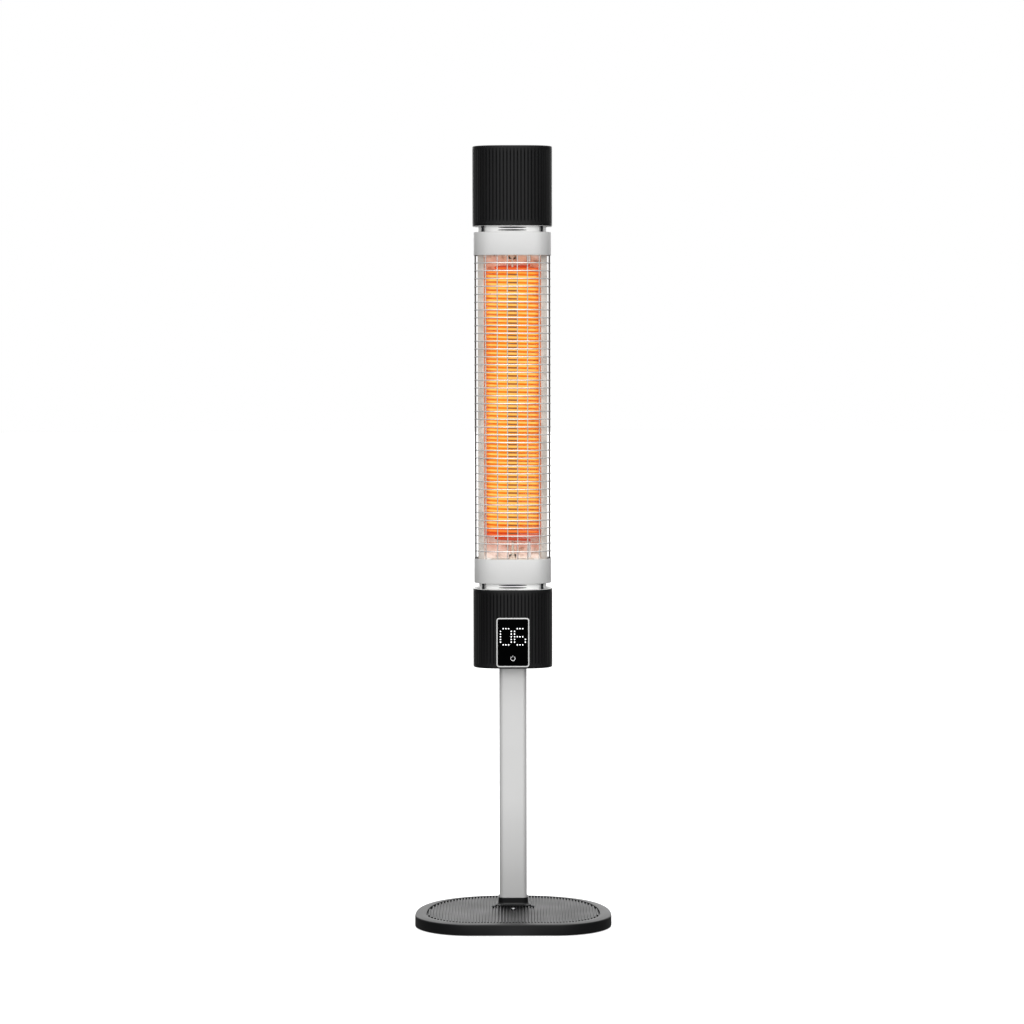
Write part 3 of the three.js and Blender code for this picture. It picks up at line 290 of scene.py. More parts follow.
def open_through(piece, facing):
    """Joins the two end faces by an inner wall, which leaves a tube."""
    pick(piece, "FACE", lambda face: len(face.vertices) > 4 and abs(face.normal.dot(facing)) > 0.99)
    bpy.ops.mesh.bridge_edge_loops()
    bpy.ops.object.mode_set(mode="OBJECT")


def joined(name, pieces):
    deselect_all()
    for piece in pieces:
        piece.select_set(True)
    bpy.context.view_layer.objects.active = pieces[0]
    bpy.ops.object.join()
    return added(name)


def copies(model, places):
    """One copy for each place, after which the model goes."""
    made = []
    for place in places:
        twin = model.copy()
        twin.data = model.data.copy()
        bpy.context.collection.objects.link(twin)
        twin.location = Vector(place)
        made.append(twin)
    bpy.data.objects.remove(model, do_unlink=True)
    return made


def cut_away(piece, *cutters):
    for cutter in cutters:
        work_on(piece)
        modifier = piece.modifiers.new("cut", "BOOLEAN")
        modifier.operation = "DIFFERENCE"
        modifier.solver = "EXACT"
        modifier.object = cutter
        bpy.ops.object.modifier_apply(modifier=modifier.name)
        bpy.data.objects.remove(cutter, do_unlink=True)
    return piece


def slice_at(piece, *heights):
    """Level cuts through the sides of a piece, which give it corners there."""
    for height in heights:
        edit(piece)
        bpy.ops.mesh.bisect(plane_co=(0, 0, height), plane_no=(0, 0, 1))


def upright_axis(node):
    """The box of an upright node, and the place of its axis."""
    low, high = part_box(node)
    return low, high, (low.x + high.x) / 2, (low.y + high.y) / 2


def inset_of(low, high):
    """How far a box lies inside the tower's sides."""
    return (tower_width - (high.x - low.x)) / 2


def wire(name, points, radius, sides=8):
    """A circle of edges laid on the points, opened between its ends and given a round section."""
    deselect_all()
    bpy.ops.mesh.primitive_circle_add(vertices=len(points), radius=1, fill_type="NOTHING")
    piece = bpy.context.object
    piece.name = name
    for corner, point in zip(piece.data.vertices, points):
        corner.co = point
    ends = {tuple(piece.data.vertices[i].co) for i in (0, -1)}
    pick(piece, "EDGE", lambda a, b: {tuple(a), tuple(b)} == ends)
    bpy.ops.mesh.delete(type="EDGE")
    work_on(piece)
    bpy.ops.object.convert(target="CURVE")
    curve = bpy.context.object.data
    curve.dimensions = "3D"
    curve.bevel_depth = radius
    curve.bevel_resolution = (sides - 4) // 2
    curve.use_fill_caps = True
    bpy.ops.object.convert(target="MESH")
    return finished(bpy.context.object, 40)


def dress(piece, material, slot, *nodes):
    """Gives a finished piece its material and body, and hides the CAD nodes that it stands for. The slot is
    not used.
    """
    piece.data.materials.clear()
    piece.data.materials.append(material)
    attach(piece, BODY)
    if nodes:
        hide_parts(*nodes)
    return piece


# ---------------- outlines

def places_on(points, distances):
    """Points at the given shares of the way round a closed line."""
    reach = [0.0]
    for here, there in zip(points, points[1:] + points[:1]):
        reach.append(reach[-1] + math.dist(here, there))
    found = []
    i = 0
    for distance in distances:
        while reach[i + 1] < distance * reach[-1]:
            i += 1
        share = (distance * reach[-1] - reach[i]) / (reach[i + 1] - reach[i])
        here, there = points[i], points[(i + 1) % len(points)]
        found.append(tuple(a + (b - a) * share for a, b in zip(here, there)))
    return found


def squared(reach, part, squareness):
    """A cosine or sine of a circle as a place on a superellipse."""
    return math.copysign(reach * abs(part) ** (2 / squareness), part)


def superellipse(half_width, half_depth, squareness, count):
    angles = [math.tau * i / count for i in range(count)]
    return [(squared(half_width, math.cos(angle), squareness),
             squared(half_depth, math.sin(angle), squareness)) for angle in angles]


def fall_off(share, squareness):
    """Depth of a superellipse at a share of its half width."""
    return (1 - share ** squareness) ** (1 / squareness)


def tower_outline(inset, distances=None):
    dense = superellipse(tower_width / 2 - inset, tower_depth / 2 - inset, SQUARENESS, 2880)
    shares = distances or [i / SECTION_POINTS for i in range(SECTION_POINTS)]
    return [(x, pole_y + y) for x, y in places_on(dense, shares)]


def fluted_outline():
    """The tower's outline with a narrow side for each flute, and the middles of those sides."""
    outline = tower_outline(0)
    girth = sum(math.dist(a, b) for a, b in zip(outline, outline[1:]))
    half = FLUTE_WIDTH / girth / 2
    rest = 1 / FLUTES - 2 * half
    distances = []
    for flute in range(FLUTES):
        start = (flute + 0.5) / FLUTES + half
        distances += [start, start + rest / 3, start + 2 * rest / 3, start + rest]
    points = tower_outline(0, sorted(distance % 1 for distance in distances))
    grooves = tower_outline(0, [(flute + 0.5) / FLUTES for flute in range(FLUTES)])
    return points, grooves


base_half = (base_high.x - base_low.x) / 2
widest_y = base_low.y + BASE_REACH
base_back = base_high.y - widest_y
corner_x = base_half - BASE_CORNER
corner_y = widest_y - BASE_REACH + BASE_CORNER


def arc(x, y, radius, start, end, steps):
    return [(x + radius * math.cos(start + (end - start) * i / steps),
             y + radius * math.sin(start + (end - start) * i / steps)) for i in range(steps + 1)]


def base_outline():
    """A D: a full round back, two wide corners and a straight front."""
    back = superellipse(base_half, base_back, BASE_SQUARENESS, 240)[:121]
    return ([(x, widest_y + y) for x, y in back]
            + arc(-corner_x, corner_y, BASE_CORNER, math.pi, 1.5 * math.pi, 44)[1:]
            + arc(corner_x, corner_y, BASE_CORNER, 1.5 * math.pi, math.tau, 44)[:-1])


def base_span(x, inset):
    """Front and back of the base's outline at a distance from the middle, moved inwards by an inset."""
    share = abs(x) / (base_half - inset)
    back = widest_y + (base_back - inset) * fall_off(share, BASE_SQUARENESS)
    beyond = max(0.0, abs(x) - corner_x)
    front = corner_y - math.sqrt(max(0.0, (BASE_CORNER - inset) ** 2 - beyond * beyond))
    return front, back


# ---------------- shader helpers

class Value:
    """A socket that takes part in arithmetic: each operator adds the Math node that it needs."""

    def __init__(self, graph, socket):
        self.graph = graph
        self.socket = socket

    def math(self, operation, *others):
        return self.graph.add("ShaderNodeMath", {"operation": operation}, {
            i: other for i, other in enumerate((self, *others))})

    def __mul__(self, other):
        return self.math("MULTIPLY", other)

    def __abs__(self):
        return self.math("ABSOLUTE")


class Graph:
    """The nodes of a material or of the studio's sky, with one method that adds any of them."""

    def __init__(self, owner, coordinates="Object"):
        owner.use_nodes = True
        self.owner = owner
        self.tree = owner.node_tree
        self.place = self.add("ShaderNodeTexCoord", {}, {}, coordinates)

    def add(self, kind, settings, inputs, output=0):
        node = self.tree.nodes.new(kind)
        for name, setting in settings.items():
            if name == "stops":
                ramp = node.color_ramp
                while len(ramp.elements) < len(setting):
                    ramp.elements.new(0.5)
                for stop, (position, colour) in zip(ramp.elements, setting):
                    stop.position = position
                    stop.color = (*colour, 1)
            else:
                setattr(node, name, setting)
        self.fill(node, inputs)
        return Value(self, node.outputs[output])

    def fill(self, node, inputs):
        for name, value in inputs.items():
            socket = node.inputs[name]
            if isinstance(value, Value):
                self.tree.links.new(value.socket, socket)
            elif isinstance(value, (tuple, list)) and len(value) == 3 and socket.type == "RGBA":
                socket.default_value = (*value, 1)
            else:
                socket.default_value = value

    def finish(self, **inputs):
        self.fill(self.tree.nodes["Principled BSDF"],
                  {name.replace("_", " "): value for name, value in inputs.items()})
        return self.owner

    # Everyday nodes

    def noise(self, scale, detail=2.0, roughness=0.5, stretch=(1, 1, 1)):
        place = self.add("ShaderNodeMapping", {}, {"Vector": self.place, "Scale": stretch})
        return self.add("ShaderNodeTexNoise", {}, {
            "Vector": place, "Scale": scale, "Detail": detail, "Roughness": roughness})

    def axis(self, name, vector=None):
        return self.add("ShaderNodeSeparateXYZ", {}, {0: vector or self.place}, name)

    def mix(self, factor, first, second):
        return self.add("ShaderNodeMix", {"data_type": "RGBA"}, {
            "Factor": factor, "A": first, "B": second}, "Result")

    def ramp(self, factor, *stops):
        return self.add("ShaderNodeValToRGB", {"stops": stops}, {"Fac": factor})

    def clamped(self, value, low, high, to_low=0.0, to_high=1.0):
        return self.add("ShaderNodeMapRange", {"clamp": True}, {
            "Value": value, "From Min": low, "From Max": high, "To Min": to_low, "To Max": to_high})

    def bump(self, height, distance, normal=None):
        inputs = {"Height": height, "Distance": distance, "Strength": 1.0}
        if normal:
            inputs["Normal"] = normal
        return self.add("ShaderNodeBump", {}, inputs)


# ---------------- finishes

def tinted(colour, share):
    return tuple(share * part for part in colour)


def moulded_plastic(name, colour, roughness, gloss=0.5, streaks=0.0):
    """Moulded plastic: fine spark-eroded grain, faint flow marks, uneven gloss and upright draw streaks."""
    g = Graph(bpy.data.materials.new(name))
    grain_height = g.noise(1600, 3)
    flow = g.noise(14, 2, stretch=(1, 1, 0.35))
    tone = g.ramp(flow, (0.3, tinted(colour, 0.82)), (0.7, tinted(colour, 1.25)))
    streak_height = g.noise(110, 3, 0.6, (1, 1, 0.012))
    relief = g.bump(grain_height, 0.02 * MM, normal=g.bump(streak_height, streaks))
    return g.finish(Base_Color=tone, Specular_IOR_Level=gloss, Normal=relief,
                    Roughness=g.clamped(flow, 0.3, 0.7, roughness - 0.04, roughness + 0.05))


def satin_aluminium(name, along, colour, roughness, metallic, foot=1.0):
    """Extruded or rolled aluminium: fine draw lines along one axis, uneven gloss and painted shade that
    darkens the foot of the pole.
    """
    g = Graph(bpy.data.materials.new(name))
    stretch = [1.0, 1.0, 1.0]
    stretch["XYZ".index(along)] = 0.012
    lines = g.noise(1500, 4, 0.6, tuple(stretch))
    cloud = g.noise(9, 3)
    # cloudy tone times painted shade that darkens the pole towards its foot
    shade = g.clamped(cloud, 0.3, 0.7, 0.965, 1.0) * g.clamped(g.axis("Z"), *POLE_FOOT_SHADE, foot, 1.0)
    tone = g.mix(shade, (0.0, 0.0, 0.0), colour)
    rough = g.clamped(lines, 0.25, 0.75, roughness - 0.05, roughness + 0.06)
    return g.finish(Base_Color=tone, Metallic=metallic, Roughness=rough, Normal=g.bump(lines, 0.012 * MM))


def bright_sheet(name, colour, metallic):
    """Bright sheet, slightly wavy, with rolling lines and a few heat marks."""
    g = Graph(bpy.data.materials.new(name))
    heat = g.noise(16, 4)
    tone = g.ramp(heat, (0.35, tinted(colour, 0.9)), (0.65, colour))
    return g.finish(Base_Color=tone, Metallic=metallic, Roughness=g.clamped(heat, 0.3, 0.7, 0.36, 0.52),
                    Normal=sheet_relief(g))


def sheet_relief(g):
    waves = g.noise(28, 2, stretch=(1, 1, 0.5))
    lines = g.noise(900, 3, stretch=(1, 1, 0.02))
    return g.bump(lines, 0.006 * MM, normal=g.bump(waves, 0.6 * MM))


def reflector_sheet():
    """Bright in the trough with smoked patches, and duller on the flanges beside it."""
    g = Graph(bpy.data.materials.new("reflector_sheet"))
    flange = g.clamped(abs(g.axis("X")), trough_half - 0.8 * MM, trough_half + 0.4 * MM)
    smoke = g.noise(75, 4, 0.6, (1, 1, 0.7))
    trough = g.ramp(smoke, (0.34, (0.52, 0.46, 0.40)), (0.46, (0.88, 0.83, 0.75)),
                    (0.6, (0.96, 0.93, 0.87)))
    dull = g.ramp(g.noise(60, 4), (0.35, (0.50, 0.47, 0.43)), (0.65, (0.68, 0.65, 0.60)))
    tone = g.mix(flange, trough, dull)
    return g.finish(Base_Color=tone, Metallic=0.2, Roughness=g.clamped(smoke, 0.3, 0.7, 0.5, 0.34),
                    Normal=sheet_relief(g))


def plated_wire():
    g = Graph(bpy.data.materials.new("plated_wire"))
    wear = g.noise(60, 3)
    tone = g.ramp(wear, (0.35, (0.66, 0.65, 0.64)), (0.65, (0.80, 0.79, 0.78)))
    return g.finish(Base_Color=tone, Metallic=0.6, Roughness=g.clamped(wear, 0.3, 0.7, 0.16, 0.28),
                    Normal=g.bump(g.noise(800, 2), 0.01 * MM))


def plain_steel(name, colour, roughness):
    """Plated or blackened steel with a mottled skin."""
    g = Graph(bpy.data.materials.new(name))
    mottle = g.noise(120, 4)
    tone = g.ramp(mottle, (0.35, tinted(colour, 0.85)), (0.65, colour))
    rough = g.clamped(mottle, 0.3, 0.7, roughness - 0.06, roughness + 0.08)
    return g.finish(Base_Color=tone, Metallic=1.0, Roughness=rough, Normal=g.bump(g.noise(900, 2), 0.01 * MM))


def rubber():
    g = Graph(bpy.data.materials.new("foot_rubber"))
    dust = g.noise(90, 4)
    tone = g.ramp(dust, (0.4, (0.010, 0.010, 0.010)), (0.75, (0.022, 0.022, 0.021)))
    return g.finish(Base_Color=tone, Roughness=g.clamped(dust, 0.3, 0.7, 0.75, 0.9),
                    Normal=g.bump(g.noise(1200, 2), 0.03 * MM))


def unglazed_ceramic(name, colour):
    g = Graph(bpy.data.materials.new(name))
    grit = g.noise(700, 4)
    stain = g.noise(22, 3)
    tone = g.ramp(stain, (0.35, tinted(colour, 0.72)), (0.7, colour))
    return g.finish(Base_Color=tone, Roughness=g.clamped(grit, 0.3, 0.7, 0.75, 0.92),
                    Normal=g.bump(grit, 0.05 * MM))


def glowing_strand():
    """Yellow-orange along the middle and redder at the end loops, with painted shade that darkens the glow at
    the sides, on the back strands and between turns.
    """
    g = Graph(bpy.data.materials.new("glowing_strand"))
    height = g.axis("Z")
    heat = (g.clamped(height, first_turn - 12 * MM, first_turn + 24 * MM)
            * g.clamped(height, last_turn + 12 * MM, last_turn - 12 * MM))
    # painted shade: the glow dims at the coil's sides, on its back strands and where the strand faces up or
    # down between turns
    sides = g.clamped(abs(g.axis("X")), 0.40 * coil_width, 0.5 * coil_width, 1.0, 0.62)
    behind = g.clamped(g.axis("Y"), coil_low.y + 8 * MM, coil_high.y - 8 * MM, 1.0, 0.62)
    facing = g.axis("Z", g.add("ShaderNodeNewGeometry", {}, {}, "Normal"))
    edges = g.clamped(abs(facing), 0.5, 0.97, 1.0, 0.55)
    flicker = g.clamped(g.noise(70, 3, stretch=(1, 1, 2.5)), 0.25, 0.75, 0.88, 1.06)
    # the wire's heat times the painted shade
    heat_and_painted_shade = heat * sides * behind * edges * flicker
    colour = g.ramp(heat_and_painted_shade, (0.0, (0.0, 0.0, 0.0)), (0.1, (0.36, 0.008, 0.0)), (0.3, (0.72, 0.05, 0.002)),
                    (0.6, (0.90, 0.22, 0.008)), (0.82, (1.0, 0.46, 0.05)), (1.0, (1.0, 0.60, 0.12)))
    metal = g.ramp(heat_and_painted_shade, (0.0, (0.60, 0.58, 0.55)), (0.12, (0.09, 0.05, 0.03)))
    return g.finish(Base_Color=metal, Roughness=0.8, Emission_Color=colour,
                    Emission_Strength=1.0, Normal=g.bump(g.noise(500, 3), 0.05 * MM))


def black_glass():
    g = Graph(bpy.data.materials.new("black_glass"))
    smudge = g.noise(45, 3)
    tone = g.ramp(smudge, (0.3, (0.0002, 0.0002, 0.0003)), (0.7, (0.0004, 0.0004, 0.0004)))
    return g.finish(Base_Color=tone,
                    Roughness=g.clamped(smudge, 0.35, 0.75, 0.04, 0.12), Specular_IOR_Level=0.01)


def lit_dots():
    g = Graph(bpy.data.materials.new("lit_dots"))
    fade = g.noise(300, 1)
    return g.finish(Base_Color=(0.8, 0.8, 0.8), Roughness=0.5, Emission_Strength=1.3,
                    Emission_Color=g.ramp(fade, (0.3, (0.85, 0.87, 0.9)), (0.7, (1.0, 1.0, 1.0))))


def circuit_board():
    g = Graph(bpy.data.materials.new("circuit_board"))
    tracks = g.noise(240)
    tone = g.ramp(tracks, (0.47, (0.010, 0.070, 0.030)), (0.53, (0.020, 0.115, 0.050)))
    return g.finish(Base_Color=tone, Roughness=g.clamped(tracks, 0.4, 0.6, 0.35, 0.55),
                    Normal=g.bump(tracks, 0.05 * MM))


# ---------------- base

def base_shell():
    """The cover: a rounded rim round a recessed field, a plain wall and a hollow underside."""
    top = base_high.z
    wall_low = COVER_GAP + 2 * MM
    wall_high = top - RIM_FALL - RIM_ROUND
    shell = prism("base_shell", base_outline(), wall_low, wall_high)
    draw_end(shell, UP, (0, wall_high), *rounding(RIM_ROUND, 0, wall_high, 1, 8),
             (RIM_WIDTH - 3 * MM, top - 0.1 * MM), (RIM_WIDTH - 1 * MM, top))
    pick(shell, "FACE", lambda face: len(face.vertices) > 4 and face.center.z > top - 0.01 * MM)
    bpy.ops.transform.resize(value=(FIELD_SHARE, 1, 1), center_override=(0, 0, top))
    draw_end(shell, UP, (RIM_WIDTH - 1 * MM, top), (RIM_WIDTH - 0.4 * MM, top - 0.15 * MM),
             (RIM_WIDTH, top - 0.6 * MM), (RIM_WIDTH, top - MOAT_DEPTH),
             (RIM_WIDTH + MOAT_WIDTH, top - MOAT_DEPTH), (RIM_WIDTH + MOAT_WIDTH, top - RECESS))
    draw_end(shell, DOWN, (0, wall_low), (0.5 * MM, wall_low - 1.6 * MM), (1.4 * MM, COVER_GAP),
             (COVER_WALL, COVER_GAP), (COVER_WALL, top - MOAT_DEPTH - 1.2 * MM))
    return finished(shell, 35)


def base_ribs():
    """Round-topped ribs from front to back, with pads between them for the collar and the screws."""
    floor = base_high.z - RECESS
    seat = base_high.z - SEAT_DEPTH
    height = RECESS - 0.05 * MM
    model = block("rib", (-RIB_WIDTH / 2, -1, -height), (RIB_WIDTH / 2, 1, height))
    pick(model, "EDGE", lambda a, b: a.z > 0 and b.z > 0 and abs(a.y - b.y) > 1)
    bpy.ops.mesh.bevel(offset=RIB_WIDTH / 2 - 0.05 * MM, segments=5, profile=0.5)
    count = int(((base_half - RIM_WIDTH) * FIELD_SHARE - RIB_WIDTH) / RIB_PITCH)
    places = [(i * RIB_PITCH, 0, floor) for i in range(-count, count + 1)]
    deselect_all()
    ribs = copies(model, places)
    for rib, (x, _, _) in zip(ribs, places):
        front, back = base_span((abs(x) + RIB_WIDTH / 2) / FIELD_SHARE, RIM_WIDTH + RIB_END_GAP)
        for corner in rib.data.vertices:
            corner.co.y = front + RIB_FRONT_GAP if corner.co.y < 0 else back
    field = joined("base_ribs", ribs)
    room = collar_reach + 1 * MM
    rooms = [pole_block("collar_room", room, floor - 2 * MM, base_high.z + 1 * MM)]
    pads = [pole_block("collar_pad", room - 0.4 * MM, floor - 0.2 * MM, seat)]
    for node in ("cover_screw_left", "cover_screw_right", "cover_screw_front"):
        low, high, x, y = upright_axis(node)
        radius = (high.x - low.x) / 2 + 1.6 * MM
        rooms.append(cylinder("screw_room", radius, floor - 2 * MM, base_high.z + 1 * MM, x, y, 32))
        pads.append(cylinder("screw_pad", radius - 0.4 * MM, floor - 0.2 * MM, seat, x, y, 32))
    cut_away(field, *rooms)
    return finished(joined("base_ribs", [field, *pads]), 35)


def pole_block(name, growth, low, high):
    """A block with the pole's section, grown all round."""
    half_width, half_depth = pole_width / 2 + growth, pole_depth / 2 + growth
    piece = block(name, (-half_width, pole_y - half_depth, low), (half_width, pole_y + half_depth, high))
    return bevel_along(piece, 2, POLE_CORNER + growth)


def collar_skirt():
    """A plain sleeve round the pole that flares out to a thin lip."""
    foot, top = collar_low.z, collar_high.z
    outer, wall = collar_reach, COLLAR_WALL
    lip = foot + 1.2 * MM
    skirt = pole_block("collar_skirt", outer, foot + 0.3 * MM, lip)
    flare = [((outer - wall) * (1 - (1 - i / FLARE_STEPS) ** FLARE_POWER),
              lip + FLARE_HEIGHT * i / FLARE_STEPS) for i in range(1, FLARE_STEPS + 1)]
    play = outer - 0.3 * MM
    draw_end(skirt, UP, (0, lip), *flare, (outer - wall, top - 0.5 * MM), (outer - wall + 0.4 * MM, top),
             (play - 0.3 * MM, top), (play, top - 0.3 * MM))
    draw_end(skirt, DOWN, (0, foot + 0.3 * MM), (0.3 * MM, foot), (play, foot))
    open_through(skirt, UP)
    return finished(skirt)


def pole_extrusion():
    edge = 0.3 * MM
    low, high = pole_low.z + edge, pole_high.z - edge
    pole = pole_block("pole_extrusion", 0, low, high)
    draw_end(pole, UP, (0, high), (edge, high + edge), (POLE_WALL, high + edge))
    draw_end(pole, DOWN, (0, low), (edge, low - edge), (POLE_WALL, low - edge))
    open_through(pole, UP)
    return finished(pole)


# ---------------- fluted casings

def fluted_casing(name, low, high):
    """A hollow casing, open below, with rounded edges and flutes between two plain borders."""
    outline, grooves = fluted_outline()
    casing = prism(name, outline, low + EDGE, high - EDGE)
    ends = (low + FLUTE_MARGIN, high - FLUTE_MARGIN)
    slice_at(casing, *ends)
    middle = (low + high) / 2
    pick(casing, "FACE", lambda face: abs(face.center.z - middle) < 1 * MM and min(
        math.dist(face.center.xy, groove) for groove in grooves) < 0.3 * MM)
    bpy.ops.mesh.inset(thickness=FLUTE_LIP, depth=-0.2 * MM, use_individual=True)
    bpy.ops.mesh.inset(thickness=FLUTE_SLOPE, depth=0.2 * MM - FLUTE_DEPTH, use_individual=True)
    for end, inwards in zip(ends, (1, -1)):
        floor_end = end + inwards * (FLUTE_LIP + FLUTE_SLOPE)
        pick(casing, "VERT", lambda corner: abs(corner.z - floor_end) < 0.02 * MM)
        bpy.ops.transform.translate(value=(0, 0, inwards * FLUTE_RUN_OUT))
    draw_end(casing, UP, (0, high - EDGE), *rounding(EDGE, 0, high - EDGE, 1))
    draw_end(casing, DOWN, (0, low + EDGE), *rounding(EDGE, 0, low + EDGE, -1),
             (WALL, low), (WALL, high - WALL))
    return finished(casing)


def lower_casing():
    casing = fluted_casing("lower_casing", casing_low.z, casing_high.z)
    opening = display_block("display_room", 0.3 * MM, bezel_low.y - 5 * MM, bezel_high.y + 12 * MM)
    low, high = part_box("cord_gland")
    outlet = cross_cylinder("gland_room", 6.3 * MM, casing_high.y - 6 * MM, casing_high.y + 6 * MM,
                            0, (low.z + high.z) / 2)
    return finished(cut_away(casing, opening, outlet))


# ---------------- bands, necks, spacers

def sleeve(name, node, sheet, roll):
    """A short tube of sheet with the tower's section and rolled edges."""
    low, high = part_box(node)
    inset = inset_of(low, high)
    tube = prism(name, tower_outline(inset), low.z + roll, high.z - roll)
    draw_end(tube, UP, (0, high.z - roll), *rounding(roll, 0, high.z - roll, 1, 3), (sheet, high.z))
    draw_end(tube, DOWN, (0, low.z + roll), *rounding(roll, 0, low.z + roll, -1, 3), (sheet, low.z))
    open_through(tube, UP)
    return tube


def band(name, node):
    return finished(sleeve(name, node, 0.8 * MM, 0.3 * MM))


def flat_ring(name, outer_inset, inner_inset, low, high):
    ring = prism(name, tower_outline(outer_inset), low, high)
    for facing, end in ((UP, high), (DOWN, low)):
        draw_end(ring, facing, (0, end), (inner_inset - outer_inset, end))
    open_through(ring, UP)
    return ring


def neck(name, node, gap_low, gap_high, seat):
    """A bright sleeve with two lens-shaped vent slots, and a thin flange that covers the housing by it."""
    tube = sleeve(name, node, 1.5 * MM, 0.3 * MM)
    low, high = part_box(node)
    slots = []
    for side in (-1, 1):
        slot = cross_cylinder("slot_room", 1, low.y - 4 * MM, low.y + 4 * MM, 0, 0)
        slot.scale = (25 * MM, 1, 1.3 * MM)
        slot.location.z = (gap_low + gap_high) / 2 + side * NECK_SLOT_PITCH / 2
        settle(slot)
        slots.append(slot)
    cut_away(tube, *slots)
    inset = inset_of(low, high)
    flange = flat_ring("flange", 0.7 * MM, inset + 0.4 * MM, seat, seat + 0.26 * MM)
    return finished(joined(name, [tube, flange]))


def neck_shade_sleeve(name, node):
    """A dark sleeve inside a neck that stands in for the shade its slots show."""
    low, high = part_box(node)
    inset = inset_of(low, high) + 2 * MM
    return finished(flat_ring(name, inset, inset + 0.8 * MM, low.z + 0.5 * MM, high.z - 0.5 * MM))


def spacer_post(node):
    """A turned post with a shoulder at each end."""
    low, high, x, y = upright_axis(node)
    post = cylinder(node + "_post", (high.y - low.y) / 2, low.z, high.z, x, y, 24)
    shoulder = 3 * MM
    slice_at(post, low.z + shoulder, low.z + shoulder + 0.4 * MM,
             high.z - shoulder - 0.4 * MM, high.z - shoulder)
    pick(post, "VERT", lambda corner: low.z + shoulder + 0.2 * MM < corner.z < high.z - shoulder - 0.2 * MM)
    bpy.ops.transform.resize(value=(0.86, 0.86, 1), center_override=(x, y, low.z))
    return finished(post)


# ---------------- guard

guard_inset = inset_of(guard_low, guard_high)
ring_pitch = (upper_band_low.z - band_high.z) / (RINGS + 1)
ring_heights = [band_high.z + ring_pitch * (i + 1) for i in range(RINGS)]


def guard_depth(x, inset):
    half_width = tower_width / 2 - inset
    share = min(1.0, abs(x) / half_width)
    return pole_y - (tower_depth / 2 - inset) * fall_off(share, SQUARENESS)


def guard_rings():
    """Round wires across the front, one over another."""
    inset = guard_inset + WIRE_RADIUS
    side = tower_width / 2 - inset
    limit = (guard_high.x - guard_low.x) / 2 - SIDE_WIRE_RADIUS
    front = [(x, pole_y + y) for x, y in superellipse(side, tower_depth / 2 - inset, SQUARENESS, 1440)
             if y < 0 and abs(x) < limit]
    path = front[::len(front) // 48] + [front[-1]]
    model = wire("ring", [Vector((x, y, 0)) for x, y in path], WIRE_RADIUS)
    return joined("guard_rings", copies(model, [(0, 0, z) for z in ring_heights]))


def upright_wires(name, places, radius, weld_size):
    """Upright wires behind the rings, with a weld at each crossing."""
    pieces = []
    for x, y in places:
        pieces.append(cylinder("upright", radius, guard_low.z, guard_high.z, x, y, 12))
        deselect_all()
        bpy.ops.mesh.primitive_ico_sphere_add(subdivisions=1, radius=1)
        weld = bpy.context.object
        weld.scale = weld_size
        settle(weld)
        pieces += copies(weld, [(x, y - 0.4 * radius, z - 0.5 * MM) for z in ring_heights])
    return finished(joined(name, pieces), 60)


def inner_uprights():
    inset = guard_inset + 2.6 * WIRE_RADIUS
    places = [(side * x, guard_depth(x, inset)) for side in (-1, 1) for x in UPRIGHTS]
    return upright_wires("inner_uprights", places, WIRE_RADIUS, (1.25 * MM, 0.9 * MM, 1.5 * MM))


def side_uprights():
    x = (guard_high.x - guard_low.x) / 2 - SIDE_WIRE_RADIUS
    y = guard_high.y - SIDE_WIRE_RADIUS
    return upright_wires("side_uprights", [(-x, y), (x, y)], SIDE_WIRE_RADIUS, (2.2 * MM, 1.6 * MM, 1.9 * MM))


# ---------------- coil

def heating_strand():
    """Full turns, a drawn-in loop at each end, then a straight lead to its terminal."""
    half_width = coil_width / 2 - STRAND_RADIUS
    half_depth = (coil_high.y - coil_low.y) / 2 - STRAND_RADIUS
    centre_y = (coil_low.y + coil_high.y) / 2
    steps = 32
    points = []
    for i in range(-steps, (TURNS + 1) * steps + 1):
        past = max(0, -i, i - TURNS * steps) / steps
        ease = min(1.0, 2 * past)
        scale = 1 + (END_LOOP_SCALE - 1) * ease * ease * (3 - 2 * ease)
        angle = -math.tau * i / steps
        points.append(Vector((
            squared(half_width * scale, math.cos(angle), COIL_SQUARENESS),
            centre_y + squared(half_depth * scale, math.sin(angle), COIL_SQUARENESS),
            first_turn + turn_pitch * i / steps)))
    lower_end = Vector((points[0].x, points[0].y, coil_low.z))
    upper_end = Vector((points[-1].x, points[-1].y, coil_high.z))
    lower_lead = [lower_end.lerp(points[0], i / 4) for i in range(4)]
    upper_lead = [points[-1].lerp(upper_end, i / 4) for i in range(1, 5)]
    return wire("heating_strand", lower_lead + points + upper_lead, STRAND_RADIUS, 10)


def former_core():
    """The I-shaped ceramic bar inside the turns, with a shallow notch for each turn."""
    x, front, back = former_high.x, former_low.y, former_high.y
    low, high = first_turn + 3.6 * MM, last_turn - 3.6 * MM
    lip = 2.4 * MM
    bars = [block("flange", (-x, front, low), (x, front + lip, high)),
            block("flange", (-x, back - lip, low), (x, back, high)),
            block("web", (-1.6 * MM, front + lip, low), (1.6 * MM, back - lip, high))]
    for bar in bars[:2]:
        bevel_along(bar, 2, 0.6 * MM, 2)
    model = cross_cylinder("notch", 1.1 * MM, front - 2 * MM, back + 2 * MM, 0, 0, 10)
    rows = [(side * x, 0, low + turn_pitch * (i + 0.5)) for side in (-1, 1) for i in range(TURNS - 1)]
    notches = joined("notches", copies(model, rows))
    return finished(cut_away(joined("former_core", bars), notches))


